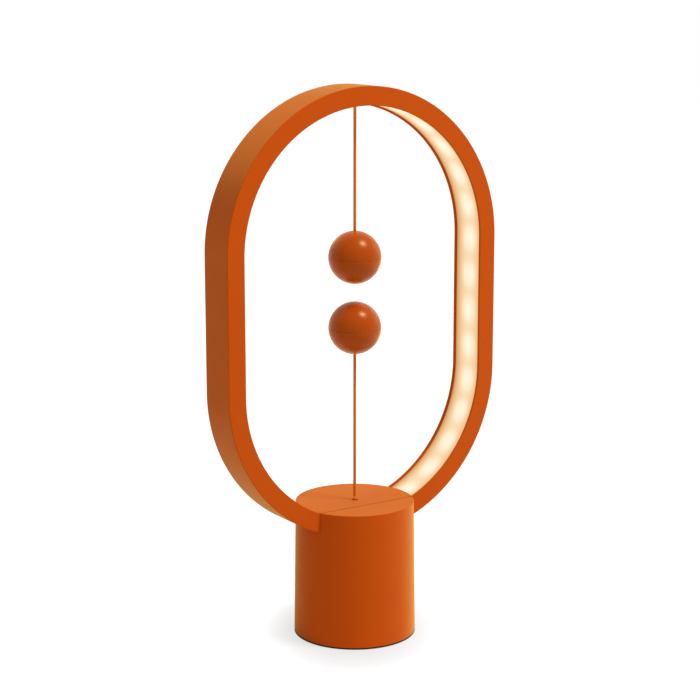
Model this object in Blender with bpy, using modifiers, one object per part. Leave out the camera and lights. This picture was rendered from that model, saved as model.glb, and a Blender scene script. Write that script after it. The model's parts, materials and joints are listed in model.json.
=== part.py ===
"""Magnetic balance lamp: a lit stadium ring on a round base, and two magnet balls on strings.

The upper ball hangs from the top of the ring. The lower ball is tied to a pull switch in the base.
When the balls draw together their strings go taut, the switch is pulled up and the light is on,
which is the pose modelled here. Lengths are in metres. The lamp stands on Z = 0 with its ring in
the XZ plane and its front towards -Y.
"""
import math

import bmesh
import bpy
from mathutils import Matrix, Vector

# Clearances between pieces
FIT_GAP = 0.0003
CUT_OVERRUN = 0.0020
SINK = 0.0006
WELD_DISTANCE = 0.000002

# Ring, a channel profile that opens inwards
LAMP_HEIGHT = 0.4000
RING_WIDTH = 0.2264
RING_SEAT_DEPTH = 0.0221
RING_RADIAL = 0.0136
RING_DEPTH = 0.0320
RING_BAND = 0.0022
RING_SIDE_WALL = 0.0030
RING_EDGE = 0.0005
RING_END_GAP = 0.0240
LEDGE_WIDTH = 0.0011
LEDGE_THICKNESS = 0.0012

# Diffuser and light strip inside the ring
DIFFUSER_THICKNESS = 0.0020
DIFFUSER_RECESS = 0.0003
DIFFUSER_EDGE = 0.0003
DIFFUSER_TAIL = 0.0030
STRIP_WIDTH = 0.0100
STRIP_THICKNESS = 0.0005
LED_PITCH = 0.0270
LED_LENGTH = 0.0035
LED_WIDTH = 0.0028
LED_HEIGHT = 0.0008
LED_SINK = 0.00025

# Strings and balls
STRING_RADIUS = 0.00105
KNOT_RADIUS = 0.0020
UPPER_STRING_DROP = 0.0893
AIR_GAP = 0.0131
BALL_RADIUS = 0.0190
BALL_WALL = 0.0024
BALL_SEAM = 0.00035
BALL_BOSS_RADIUS = 0.0050
BALL_BOSS_DEPTH = 0.0060
MAGNET_RADIUS = 0.0080
MAGNET_HEIGHT = 0.0060
MAGNET_EDGE = 0.0005
POCKET_WALL = 0.0014

# Base shell and its covers
BASE_HEIGHT = 0.0991
BASE_TOP_RADIUS = 0.0432
BASE_BOTTOM_RADIUS = 0.0446
BASE_WALL = 0.0024
BASE_EDGE = 0.0005
FOOT_REVEAL = 0.0008
FOOT_THICKNESS = 0.0016
FOOT_BORDER = 0.0016
BOTTOM_THICKNESS = 0.0036
STRING_HOLE_RADIUS = 0.00235
STRING_BOSS_WALL = 0.0022
STRING_BOSS_DEPTH = 0.0040
CLAMP_RIB_THICKNESS = 0.0022
CLAMP_RIB_START = 0.0080
CLAMP_RIB_END = 0.0280

# Screws, and the posts that take them
SCREW_RADIUS = 0.0015
SCREW_LENGTH = 0.0120
SCREW_HEAD_RADIUS = 0.0027
SCREW_HEAD_HEIGHT = 0.0014
POST_RADIUS = 0.0037
POST_HOLE_DEPTH = 0.0130
POST_FROM_RING = 0.0010
POST_FROM_WALL = 0.0031
WALL_BOSS_HEIGHT = 0.0160
SMALL_SCREW_RADIUS = 0.0009
SMALL_SCREW_HEAD_RADIUS = 0.0017
SMALL_SCREW_HEAD_HEIGHT = 0.0010

# Cradle that carries the ring and the switch
CRADLE_DROP = 0.0150
CRADLE_THICKNESS = 0.0030
SADDLE_THICKNESS = 0.0024
SADDLE_SPREAD = 0.0100
SADDLE_START = 0.0135
SADDLE_END = 0.0330
TOWER_WALL = 0.0020
TOWER_HEIGHT = 0.0160
LEAD_HOLE_X = 0.0087

# Pull switch
PULL_TRAVEL = 0.0020
ROD_RADIUS = 0.0015
ROD_TAIL = 0.0030
ROD_GROOVE_DEPTH = 0.0004
ROD_HEAD_HEIGHT = 0.0050
ROD_CUP_WALL = 0.0008
ROD_CUP_DEPTH = 0.0030
BUSH_WALL = 0.0008
BUSH_FLANGE_RADIUS = 0.0055
BUSH_FLANGE_THICKNESS = 0.0015
COLLAR_RADIUS = 0.0060
COLLAR_THICKNESS = 0.0014
SPRING_LENGTH = 0.0100
SPRING_WIRE_RADIUS = 0.0003
SPRING_TURNS = 5
SWITCH_OFFSET = 0.0090
SWITCH_LENGTH = 0.0128
SWITCH_WIDTH = 0.0058
SWITCH_HEIGHT = 0.0065
SWITCH_HOLE_INSET = 0.0030
SWITCH_RIB_THICKNESS = 0.0032
LEVER_THICKNESS = 0.0004
LEVER_WIDTH = 0.0036
LEVER_TIP = 0.0044
LEVER_EYE_RADIUS = 0.0006
LEVER_PIVOT_INSET = 0.0014
BUTTON_LENGTH = 0.0014
BUTTON_WIDTH = 0.0024
BUTTON_HEIGHT = 0.0026
BUTTON_SHOW = 0.0006
BUTTON_OFFSET = 0.0050

# Counterweight, driver board and power inlet
WEIGHT_HEIGHT = 0.0200
WEIGHT_BOARD_GAP = 0.0055
WEIGHT_CLEARANCE = 0.0013
WEIGHT_EDGE = 0.0008
WEIGHT_SCREW_INSET = 0.0100
BOARD_WIDTH = 0.0240
BOARD_LENGTH = 0.0225
BOARD_THICKNESS = 0.0016
BOARD_LIFT = 0.0060
BOARD_BACK_GAP = 0.0040
BOARD_POST_OFFSET = 0.0080
BOARD_POST_RADIUS = 0.0026
BOARD_POST_INSET = 0.0040
COIL_SIZE = 0.0054
COIL_HEIGHT = 0.0030
CAPACITOR_RADIUS = 0.0026
CAPACITOR_HEIGHT = 0.0054
CHIP_WIDTH = 0.0028
CHIP_HEIGHT = 0.0010
COMPONENT_INSET = 0.0014
COMPONENT_SINK = 0.0004
INLET_WIDTH = 0.0090
INLET_HEIGHT = 0.0034
INLET_LENGTH = 0.0080
INLET_WALL = 0.0004
INLET_DEPTH = 0.0060
INLET_MARGIN = 0.0005
LEAD_RADIUS = 0.0009
LEAD_LANDING_X = 0.0040
LEAD_SLACK = 0.0030

# Mesh fineness
ARC_STEP = math.radians(6)
COARSE_ARC_STEP = math.radians(30)
SMOOTH_ANGLE = math.radians(30)
BASE_STEPS = 60
INNER_STEPS = 40
BALL_STEPS = 28
BALL_OUTER_STEPS = 7
BALL_INNER_STEPS = 2
ROUND_STEPS = 16
SMALL_STEPS = 10
SPRING_POINTS_PER_TURN = 8
ROUTE_STEPS = 4

# Places worked out from the sizes above
RING_RADIUS = RING_WIDTH / 2
RING_BOTTOM_Z = BASE_HEIGHT - RING_SEAT_DEPTH
UPPER_CENTRE_Z = LAMP_HEIGHT - RING_RADIUS
LOWER_CENTRE_Z = RING_BOTTOM_Z + RING_RADIUS
RING_STRAIGHT = UPPER_CENTRE_Z - LOWER_CENTRE_Z
HALF_DEPTH = RING_DEPTH / 2
CHANNEL_HALF = HALF_DEPTH - RING_SIDE_WALL
DIFFUSER_FACE = RING_RADIAL - DIFFUSER_RECESS
DIFFUSER_BACK = DIFFUSER_FACE - DIFFUSER_THICKNESS
STRIP_BACK = RING_BAND + FIT_GAP
STRIP_FACE = STRIP_BACK + STRIP_THICKNESS
COVER_UNDERSIDE_Z = BASE_HEIGHT - BASE_WALL

UPPER_BALL_Z = LAMP_HEIGHT - RING_RADIAL - UPPER_STRING_DROP - BALL_RADIUS
LOWER_BALL_Z = UPPER_BALL_Z - 2 * BALL_RADIUS - AIR_GAP
BEND_REACH = STRING_RADIUS + FIT_GAP
UPPER_PIVOT_Z = LAMP_HEIGHT - DIFFUSER_FACE - BEND_REACH
LOWER_PIVOT_Z = BASE_HEIGHT + BEND_REACH + PULL_TRAVEL
HOLE_RADIUS = STRING_RADIUS + FIT_GAP
BALL_KNOT_DEPTH = BALL_BOSS_DEPTH + FIT_GAP + KNOT_RADIUS

CRADLE_TOP_Z = RING_BOTTOM_Z - CRADLE_DROP
CRADLE_BOTTOM_Z = CRADLE_TOP_Z - CRADLE_THICKNESS
TOWER_TOP_Z = CRADLE_TOP_Z + TOWER_HEIGHT
BUSH_BORE = ROD_RADIUS + FIT_GAP
BUSH_RADIUS = BUSH_BORE + BUSH_WALL
TOWER_RADIUS = BUSH_RADIUS + FIT_GAP + TOWER_WALL
FLANGE_TOP_Z = CRADLE_BOTTOM_Z - FIT_GAP
FLANGE_BOTTOM_Z = FLANGE_TOP_Z - BUSH_FLANGE_THICKNESS
COLLAR_TOP_Z = FLANGE_BOTTOM_Z - FIT_GAP - SPRING_LENGTH - FIT_GAP
LEVER_BOTTOM_Z = COLLAR_TOP_Z + FIT_GAP
LEVER_TOP_Z = LEVER_BOTTOM_Z + LEVER_THICKNESS
BUTTON_BOTTOM_Z = LEVER_TOP_Z + FIT_GAP
SWITCH_BOTTOM_Z = BUTTON_BOTTOM_Z + BUTTON_SHOW
SWITCH_CENTRE_X = SWITCH_OFFSET + SWITCH_LENGTH / 2
LEVER_PIVOT_X = SWITCH_OFFSET + SWITCH_LENGTH - LEVER_PIVOT_INSET
LEVER_PIVOT_Z = SWITCH_BOTTOM_Z + LEVER_EYE_RADIUS
BUTTON_X = LEVER_PIVOT_X - BUTTON_OFFSET
ROD_HEAD_Z = TOWER_TOP_Z + PULL_TRAVEL + FIT_GAP
ROD_TOP_Z = ROD_HEAD_Z + ROD_HEAD_HEIGHT
ROD_CUP_RADIUS = KNOT_RADIUS + FIT_GAP
PULL_KNOT_Z = ROD_TOP_Z - ROD_CUP_DEPTH + FIT_GAP + KNOT_RADIUS

BOTTOM_TOP_Z = FOOT_REVEAL + BOTTOM_THICKNESS
FOOT_SEAT_Z = FOOT_THICKNESS + FIT_GAP
WEIGHT_BOTTOM_Z = BOTTOM_TOP_Z + FIT_GAP
BOARD_BOTTOM_Z = BOTTOM_TOP_Z + BOARD_LIFT + FIT_GAP
BOARD_TOP_Z = BOARD_BOTTOM_Z + BOARD_THICKNESS
INLET_Z = BOARD_TOP_Z + FIT_GAP + INLET_HEIGHT / 2


def shell_radius(z):
    """Outer radius of the tapered base at a height."""
    share = (z - FOOT_REVEAL) / (BASE_HEIGHT - FOOT_REVEAL)
    return BASE_BOTTOM_RADIUS + (BASE_TOP_RADIUS - BASE_BOTTOM_RADIUS) * share


def shell_bore(z):
    """Inner radius of the tapered base at a height."""
    return shell_radius(z) - BASE_WALL


BASE_REACH = max(BASE_TOP_RADIUS, BASE_BOTTOM_RADIUS) + CUT_OVERRUN
BOTTOM_RADIUS = shell_bore(BOTTOM_TOP_Z) - FIT_GAP
FOOT_SEAT_RADIUS = BOTTOM_RADIUS - FOOT_BORDER
BOSS_BORE = min(shell_bore(BOTTOM_TOP_Z), shell_bore(BOTTOM_TOP_Z + WALL_BOSS_HEIGHT))
BOSS_CIRCLE = BOSS_BORE + SINK - POST_RADIUS
WEIGHT_RADIUS = BOSS_CIRCLE - POST_RADIUS - WEIGHT_CLEARANCE
WEIGHT_SCREW_X = WEIGHT_RADIUS - WEIGHT_SCREW_INSET
CRADLE_RADIUS = min(shell_bore(CRADLE_TOP_Z), shell_bore(CRADLE_BOTTOM_Z)) - FIT_GAP
POST_CIRCLE = min(CRADLE_RADIUS, shell_bore(COVER_UNDERSIDE_Z)) - POST_FROM_WALL - POST_RADIUS
POST_Y = HALF_DEPTH + POST_FROM_RING + POST_RADIUS
POST_X = math.sqrt(POST_CIRCLE**2 - POST_Y**2)
BOARD_BACK_Y = shell_bore(BOARD_TOP_Z) - BOARD_BACK_GAP
BOARD_FRONT_Y = BOARD_BACK_Y - BOARD_LENGTH
BOARD_POST_Y = BOARD_FRONT_Y + BOARD_POST_INSET
WEIGHT_FLAT_Y = BOARD_FRONT_Y - WEIGHT_BOARD_GAP
INLET_MOUTH_Y = shell_radius(INLET_Z) - BASE_WALL / 2
BOSS_ANGLES = [math.radians(angle) for angle in (-90, 30, 150)]


def remove_old_objects():
    """Empties the scene, so that the script can be run again."""
    for old in list(bpy.data.objects):
        bpy.data.objects.remove(old)


def make_collection(name):
    """Adds a collection to the scene."""
    collection = bpy.data.collections.new(name)
    bpy.context.scene.collection.children.link(collection)
    return collection


def make_material(name, colour, roughness, metallic=0.0):
    """Makes a Principled material."""
    material = bpy.data.materials.new(name)
    material.use_nodes = True
    shader = material.node_tree.nodes["Principled BSDF"]
    shader.inputs["Base Color"].default_value = (*colour, 1.0)
    shader.inputs["Roughness"].default_value = roughness
    shader.inputs["Metallic"].default_value = metallic
    return material


def make_palette():
    """The lamp's materials, by name."""
    return {
        "orange": make_material("orange_plastic", (0.50, 0.085, 0.010), 0.55),
        "diffuser": make_material("milky_plastic", (0.95, 0.85, 0.68), 0.35),
        "string": make_material("orange_cord", (0.52, 0.11, 0.018), 0.85),
        "steel": make_material("bright_steel", (0.60, 0.60, 0.60), 0.30, 1.0),
        "magnet": make_material("nickel_magnet", (0.55, 0.54, 0.52), 0.22, 1.0),
        "brass": make_material("brass_bush", (0.66, 0.48, 0.20), 0.32, 1.0),
        "iron": make_material("cast_weight", (0.12, 0.12, 0.13), 0.60, 1.0),
        "rubber": make_material("black_rubber", (0.015, 0.015, 0.015), 0.80),
        "inner": make_material("inner_plastic", (0.08, 0.08, 0.08), 0.50),
        "board": make_material("green_board", (0.02, 0.16, 0.06), 0.45),
        "strip": make_material("white_strip", (0.80, 0.78, 0.70), 0.45),
        "lead": make_material("lead_sheath", (0.70, 0.70, 0.70), 0.60),
    }


def add_mesh(name, mesh, material, collection):
    """Adds an object with this mesh and material."""
    part = bpy.data.objects.new(name, mesh)
    collection.objects.link(part)
    if material is not None:
        mesh.materials.clear()
        mesh.materials.append(material)
    return part


def finish_bmesh(name, shape):
    """Turns a bmesh into a mesh whose faces point out."""
    bmesh.ops.recalc_face_normals(shape, faces=shape.faces)
    mesh = bpy.data.meshes.new(name)
    shape.to_mesh(mesh)
    shape.free()
    return mesh


def smooth(mesh):
    """Shades a mesh smooth, with its real edges left sharp."""
    mesh.shade_smooth()
    mesh.set_sharp_from_angle(angle=SMOOTH_ANGLE)


def box_mesh(name, low, high):
    """A box between two corners."""
    shape = bmesh.new()
    bmesh.ops.create_cube(shape, size=1.0)
    low = Vector(low)
    high = Vector(high)
    bmesh.ops.scale(shape, vec=high - low, verts=shape.verts)
    bmesh.ops.translate(shape, vec=(low + high) / 2, verts=shape.verts)
    return finish_bmesh(name, shape)


def rod_mesh(name, radius, low_z, high_z, steps=ROUND_STEPS):
    """An upright cylinder between two heights."""
    shape = bmesh.new()
    bmesh.ops.create_cone(
        shape, cap_ends=True, segments=steps, radius1=radius, radius2=radius, depth=high_z - low_z
    )
    bmesh.ops.translate(shape, vec=(0, 0, (low_z + high_z) / 2), verts=shape.verts)
    mesh = finish_bmesh(name, shape)
    smooth(mesh)
    return mesh


def ball_mesh(name, radius, steps=SMALL_STEPS):
    """A small sphere at the origin."""
    shape = bmesh.new()
    bmesh.ops.create_uvsphere(shape, u_segments=steps, v_segments=(steps + 1) // 2, radius=radius)
    mesh = finish_bmesh(name, shape)
    mesh.shade_smooth()
    return mesh


def turned(name, profile, material, collection, steps=ROUND_STEPS, closed=False):
    """Turns a profile of (radius, height) points about Z with a Screw modifier.

    The profile runs down its outer side. A closed one comes back up its inner side, and an open
    one starts and ends on the axis.
    """
    mesh = bpy.data.meshes.new(name)
    count = len(profile)
    edges = [(i, i + 1) for i in range(count - 1)]
    if closed:
        edges.append((count - 1, 0))
    mesh.from_pydata([(radius, 0, height) for radius, height in profile], edges, [])
    part = add_mesh(name, mesh, material, collection)
    screw = part.modifiers.new("turn", "SCREW")
    screw.steps = steps
    screw.render_steps = steps
    screw.use_merge_vertices = True
    screw.merge_threshold = WELD_DISTANCE
    screw.use_smooth_shade = True
    apply_to_mesh(part)
    smooth(part.data)
    return part


def apply_to_mesh(part):
    """Replaces an object's mesh by its evaluated one and drops the modifiers."""
    bpy.context.view_layer.update()
    graph = bpy.context.evaluated_depsgraph_get()
    mesh = bpy.data.meshes.new_from_object(part.evaluated_get(graph))
    shape = bmesh.new()
    shape.from_mesh(mesh)
    bmesh.ops.remove_doubles(shape, verts=shape.verts, dist=WELD_DISTANCE)
    bmesh.ops.recalc_face_normals(shape, faces=shape.faces)
    shape.to_mesh(mesh)
    shape.free()
    part.modifiers.clear()
    part.data = mesh


def flat_curve(name, outlines, collection):
    """A 2D curve object with one cyclic spline for each outline."""
    curve = bpy.data.curves.new(name, "CURVE")
    curve.dimensions = "2D"
    for outline in outlines:
        spline = curve.splines.new("POLY")
        spline.points.add(len(outline) - 1)
        for point, place in zip(spline.points, outline):
            point.co = (place[0], place[1], 0, 1)
        spline.use_cyclic_u = True
    holder = bpy.data.objects.new(name, curve)
    collection.objects.link(holder)
    return holder


def mesh_from_curve(name, holder):
    """The mesh of a curve object in world space; the curve is removed."""
    bpy.context.view_layer.update()
    graph = bpy.context.evaluated_depsgraph_get()
    mesh = bpy.data.meshes.new_from_object(holder.evaluated_get(graph))
    mesh.name = name
    mesh.transform(holder.matrix_world)
    bpy.data.objects.remove(holder)
    shape = bmesh.new()
    shape.from_mesh(mesh)
    bmesh.ops.remove_doubles(shape, verts=shape.verts, dist=WELD_DISTANCE)
    bmesh.ops.recalc_face_normals(shape, faces=shape.faces)
    shape.to_mesh(mesh)
    shape.free()
    return mesh


def slab_mesh(name, outlines, low, high, collection, upright=True):
    """A flat outline made solid between two places.

    An upright outline is in (x, z) and the places are along Y; the other is in (x, y), along Z.
    """
    holder = flat_curve(name, outlines, collection)
    holder.data.fill_mode = "BOTH"
    holder.data.extrude = (high - low) / 2
    if upright:
        holder.rotation_euler = (math.pi / 2, 0, 0)
        holder.location = (0, (low + high) / 2, 0)
    else:
        holder.location = (0, 0, (low + high) / 2)
    return mesh_from_curve(name, holder)


def sweep_mesh(name, path, profile, collection):
    """Sweeps a closed (inward, across) profile along an (x, z) path that runs clockwise."""
    section = flat_curve(name + "_section", [profile], collection)
    holder = flat_curve(name, [path], collection)
    holder.data.splines[0].use_cyclic_u = False
    holder.data.bevel_mode = "OBJECT"
    holder.data.bevel_object = section
    holder.data.use_fill_caps = True
    holder.rotation_euler = (math.pi / 2, 0, 0)
    mesh = mesh_from_curve(name, holder)
    bpy.data.objects.remove(section)
    return mesh


def tube_mesh(name, points, radius, collection, resolution=2):
    """A round wire with closed ends along a list of points."""
    curve = bpy.data.curves.new(name, "CURVE")
    curve.dimensions = "3D"
    curve.bevel_depth = radius
    curve.bevel_resolution = resolution
    curve.use_fill_caps = True
    spline = curve.splines.new("POLY")
    spline.points.add(len(points) - 1)
    for point, place in zip(spline.points, points):
        point.co = (*place, 1)
    holder = bpy.data.objects.new(name, curve)
    collection.objects.link(holder)
    mesh = mesh_from_curve(name, holder)
    smooth(mesh)
    return mesh


def combine(part, other_mesh, operation, cutters):
    """Joins a mesh to a part, or cuts it out of it."""
    name = f"{part.name}_{operation.lower()}_{len(part.modifiers)}"
    cutter = add_mesh(name, other_mesh, None, cutters)
    cutter.hide_render = True
    cutter.display_type = "WIRE"
    modifier = part.modifiers.new(operation.lower(), "BOOLEAN")
    modifier.operation = operation
    modifier.solver = "EXACT"
    modifier.object = cutter


def arc_points(centre_x, centre_z, radius, start, end, step=ARC_STEP):
    """Points on an arc from one angle to another, both ends included."""
    count = max(1, math.ceil(abs(end - start) / step))
    angles = [start + (end - start) * i / count for i in range(count + 1)]
    return [(centre_x + radius * math.cos(a), centre_z + radius * math.sin(a)) for a in angles]


def ring_path(end_angle):
    """The open loop of the ring's outer face, which ends at an angle from its lowest point."""
    left = arc_points(0, LOWER_CENTRE_Z, RING_RADIUS, -math.pi / 2 - end_angle, -math.pi)
    over = arc_points(0, UPPER_CENTRE_Z, RING_RADIUS, math.pi, 0)
    right = arc_points(0, LOWER_CENTRE_Z, RING_RADIUS, 0, -math.pi / 2 + end_angle)
    return left + over + right


def ring_end_angle():
    """Angle from the ring's lowest point to each of its ends."""
    return math.asin(RING_END_GAP / 2 / RING_RADIUS)


def stadium(inset):
    """The closed stadium outline at a distance inside the ring's outer face."""
    radius = RING_RADIUS - inset
    over = arc_points(0, UPPER_CENTRE_Z, radius, math.pi, 0)
    under = arc_points(0, LOWER_CENTRE_Z, radius, 0, -math.pi)
    return over + under


def lower_arc_z(inset, x):
    """Height of the ring's lower arc at a distance inside its outer face."""
    radius = RING_RADIUS - inset
    return LOWER_CENTRE_Z - math.sqrt(radius**2 - x**2)


def lower_arc_x(inset, z):
    """Distance from the middle at which the lower arc reaches a height."""
    radius = RING_RADIUS - inset
    return math.sqrt(radius**2 - (LOWER_CENTRE_Z - z) ** 2)


def mirrored(half):
    """A profile across the ring from its front half."""
    return half + [(inward, -across) for inward, across in reversed(half)]


def build_ring_frame(palette, parts):
    """The channel that makes the ring, bent to a stadium with its ends in the base."""
    ledge_top = DIFFUSER_BACK - FIT_GAP
    half = [
        (0, HALF_DEPTH - RING_EDGE),
        (RING_EDGE, HALF_DEPTH),
        (RING_RADIAL - RING_EDGE, HALF_DEPTH),
        (RING_RADIAL, HALF_DEPTH - RING_EDGE),
        (RING_RADIAL, CHANNEL_HALF),
        (ledge_top, CHANNEL_HALF),
        (ledge_top, CHANNEL_HALF - LEDGE_WIDTH),
        (ledge_top - LEDGE_THICKNESS, CHANNEL_HALF),
        (RING_BAND, CHANNEL_HALF),
    ]
    mesh = sweep_mesh("ring_frame", ring_path(ring_end_angle()), mirrored(half), parts)
    smooth(mesh)
    return add_mesh("ring_frame", mesh, palette["orange"], parts)


def build_diffuser(palette, parts, cutters):
    """The milky strip that closes the channel, with the hole that the upper string comes out of."""
    half_width = CHANNEL_HALF - FIT_GAP
    half = [
        (DIFFUSER_BACK, half_width),
        (DIFFUSER_FACE - DIFFUSER_EDGE, half_width),
        (DIFFUSER_FACE, half_width - DIFFUSER_EDGE),
    ]
    end_x = lower_arc_x(DIFFUSER_FACE, COVER_UNDERSIDE_Z - DIFFUSER_TAIL)
    end_angle = math.asin(end_x / (RING_RADIUS - DIFFUSER_FACE))
    mesh = sweep_mesh("diffuser", ring_path(end_angle), mirrored(half), parts)
    smooth(mesh)
    part = add_mesh("diffuser", mesh, palette["diffuser"], parts)
    low = LAMP_HEIGHT - DIFFUSER_FACE - CUT_OVERRUN
    high = LAMP_HEIGHT - DIFFUSER_BACK + CUT_OVERRUN
    hole = rod_mesh("diffuser_hole", HOLE_RADIUS, low, high, SMALL_STEPS)
    combine(part, hole, "DIFFERENCE", cutters)
    return part


def led_places():
    """Distances of the light chips from the top of the ring, along the strip."""
    radius = RING_RADIUS - STRIP_FACE
    hidden_angle = math.asin((LOWER_CENTRE_Z - COVER_UNDERSIDE_Z) / radius)
    lit_run = radius * math.pi / 2 + RING_STRAIGHT + radius * hidden_angle
    count = math.floor(lit_run / LED_PITCH) + 1
    return [LED_PITCH * (i + 0.5) for i in range(count)]


def strip_frame(distance, inset):
    """Place and direction on the right half of the strip, at a distance from its top."""
    radius = RING_RADIUS - STRIP_FACE
    quarter = radius * math.pi / 2
    place_radius = RING_RADIUS - inset
    if distance < quarter:
        angle = distance / radius
        centre_z = UPPER_CENTRE_Z
    elif distance < quarter + RING_STRAIGHT:
        return Vector((place_radius, 0, UPPER_CENTRE_Z - (distance - quarter))), math.pi / 2
    else:
        angle = (distance - RING_STRAIGHT) / radius
        centre_z = LOWER_CENTRE_Z
    place = Vector((place_radius * math.sin(angle), 0, centre_z + place_radius * math.cos(angle)))
    return place, angle


def build_led_strip(palette, parts, cutters):
    """The flexible strip on the channel's floor, with its light chips."""
    half_width = STRIP_WIDTH / 2
    profile = mirrored([(STRIP_BACK, half_width), (STRIP_FACE, half_width)])
    places = led_places()
    end_angle = math.pi - strip_frame(places[-1] + LED_PITCH / 2, STRIP_FACE)[1]
    mesh = sweep_mesh("led_strip", ring_path(end_angle), profile, parts)
    part = add_mesh("led_strip", mesh, palette["strip"], parts)
    chips = bmesh.new()
    for distance in places:
        for side in (1, -1):
            place, angle = strip_frame(distance, STRIP_FACE + (LED_HEIGHT - LED_SINK) / 2)
            turn = Matrix.Rotation(angle * side, 4, "Y")
            turn = Matrix.Translation((place.x * side, 0, place.z)) @ turn
            size = Matrix.Diagonal((LED_LENGTH, LED_WIDTH, LED_HEIGHT + LED_SINK, 1))
            bmesh.ops.create_cube(chips, size=1.0, matrix=turn @ size)
    combine(part, finish_bmesh("led_chips", chips), "UNION", cutters)
    return part


def arc_rows(radius, start, end, rows):
    """Points of a turned profile's arc round the origin, in this many rows."""
    angles = [start + (end - start) * i / rows for i in range(rows + 1)]
    return [(radius * math.cos(angle), radius * math.sin(angle)) for angle in angles]


def ball_profile(hole_side):
    """Profile of half a ball above its seam: the string's half, or the magnet's."""
    inner = BALL_RADIUS - BALL_WALL
    seam_z = BALL_SEAM + FIT_GAP / 2
    seam_angle = math.asin(seam_z / BALL_RADIUS)
    top_angle = math.acos(HOLE_RADIUS / BALL_RADIUS) if hole_side else math.pi / 2
    points = arc_rows(BALL_RADIUS, top_angle, seam_angle, BALL_OUTER_STEPS)
    if not hole_side:
        points[0] = (0, BALL_RADIUS)
    points.append((BALL_RADIUS - BALL_SEAM, FIT_GAP / 2))
    points.append((inner, FIT_GAP / 2))
    inner_end = BALL_BOSS_RADIUS if hole_side else MAGNET_RADIUS + FIT_GAP + POCKET_WALL
    end_angle = math.acos(inner_end / inner)
    points.extend(arc_rows(inner, 0, end_angle, BALL_INNER_STEPS)[1:])
    if hole_side:
        boss_z = BALL_RADIUS - BALL_BOSS_DEPTH
        points.append((BALL_BOSS_RADIUS, boss_z))
        points.append((HOLE_RADIUS, boss_z))
        return points
    pocket = MAGNET_RADIUS + FIT_GAP
    seat_z = magnet_seat_z()
    lip_z = seat_z - MAGNET_HEIGHT - FIT_GAP
    points.append((pocket + POCKET_WALL, lip_z))
    points.append((pocket, lip_z))
    points.append((pocket, seat_z))
    points.append((0, seat_z))
    return points


def magnet_seat_z():
    """Height of the magnet's seat over the ball's seam, on solid plastic at the pole."""
    return math.sqrt((BALL_RADIUS - BALL_WALL) ** 2 - (MAGNET_RADIUS + FIT_GAP) ** 2)


def build_ball(name, centre_z, string_up, pivot, palette, parts):
    """A ball of two half shells that hold a magnet at one pole and the string's knot at the other."""
    flip = 0 if string_up else math.pi
    centre = Vector((0, 0, centre_z)) - pivot.location
    orange = palette["orange"]
    profile = ball_profile(True)
    string_half = turned(f"{name}_string_half", profile, orange, parts, BALL_STEPS, True)
    profile = ball_profile(False)
    magnet_half = turned(f"{name}_magnet_half", profile, orange, parts, BALL_STEPS)
    string_half.rotation_euler = (flip, 0, 0)
    magnet_half.rotation_euler = (math.pi - flip, 0, 0)
    top = magnet_seat_z() - FIT_GAP
    edge = MAGNET_EDGE
    profile = [
        (0, top),
        (MAGNET_RADIUS - edge, top),
        (MAGNET_RADIUS, top - edge),
        (MAGNET_RADIUS, top - MAGNET_HEIGHT + edge),
        (MAGNET_RADIUS - edge, top - MAGNET_HEIGHT),
        (0, top - MAGNET_HEIGHT),
    ]
    magnet = turned(f"{name}_magnet", profile, palette["magnet"], parts)
    magnet.rotation_euler = (math.pi - flip, 0, 0)
    for part in (string_half, magnet_half, magnet):
        part.parent = pivot
        part.location = centre
    knot = build_knot(f"{name}_knot", KNOT_RADIUS, palette, parts)
    knot.parent = pivot
    side = 1 if string_up else -1
    knot.location = centre + Vector((0, 0, side * (BALL_RADIUS - BALL_KNOT_DEPTH)))


def build_string(name, low_z, high_z, pivot, palette, parts):
    """A straight, taut length of string between two heights."""
    mesh = rod_mesh(name, STRING_RADIUS, low_z, high_z, SMALL_STEPS)
    part = add_mesh(name, mesh, palette["string"], parts)
    if pivot is not None:
        part.parent = pivot
        part.location = -pivot.location
    return part


def build_knot(name, radius, palette, parts):
    """A round knot, or the round spot in a string where it bends as its ball swings."""
    return add_mesh(name, ball_mesh(name, radius), palette["string"], parts)


def add_pivot(name, place, parts):
    """An empty on a joint's axis, which carries the pieces that move about it."""
    pivot = bpy.data.objects.new(name, None)
    pivot.location = place
    parts.objects.link(pivot)
    return pivot


def build_upper_hanging(palette, parts):
    """The string and the ball that hang from the top of the ring."""
    pivot = add_pivot("upper_swing_pivot", (0, 0, UPPER_PIVOT_Z), parts)
    knot_z = LAMP_HEIGHT - DIFFUSER_BACK + FIT_GAP + KNOT_RADIUS
    knot = build_knot("upper_string_knot", KNOT_RADIUS, palette, parts)
    knot.location = (0, 0, knot_z)
    neck_top = LAMP_HEIGHT - DIFFUSER_BACK
    build_string("upper_string_neck", UPPER_PIVOT_Z + BEND_REACH, neck_top, None, palette, parts)
    build_knot("upper_string_bend", STRING_RADIUS, palette, parts).parent = pivot
    knot_top = UPPER_BALL_Z + BALL_RADIUS - BALL_BOSS_DEPTH
    build_string("upper_string", knot_top, UPPER_PIVOT_Z - BEND_REACH, pivot, palette, parts)
    build_ball("upper_ball", UPPER_BALL_Z, True, pivot, palette, parts)


def build_lower_standing(palette, parts):
    """The string and the ball that the magnets hold up over the base."""
    pivot = add_pivot("lower_lean_pivot", (0, 0, LOWER_PIVOT_Z), parts)
    build_knot("lower_string_bend", STRING_RADIUS, palette, parts).parent = pivot
    knot_bottom = LOWER_BALL_Z - BALL_RADIUS + BALL_BOSS_DEPTH
    build_string("lower_string", LOWER_PIVOT_Z + BEND_REACH, knot_bottom, pivot, palette, parts)
    build_ball("lower_ball", LOWER_BALL_Z, False, pivot, palette, parts)


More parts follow.
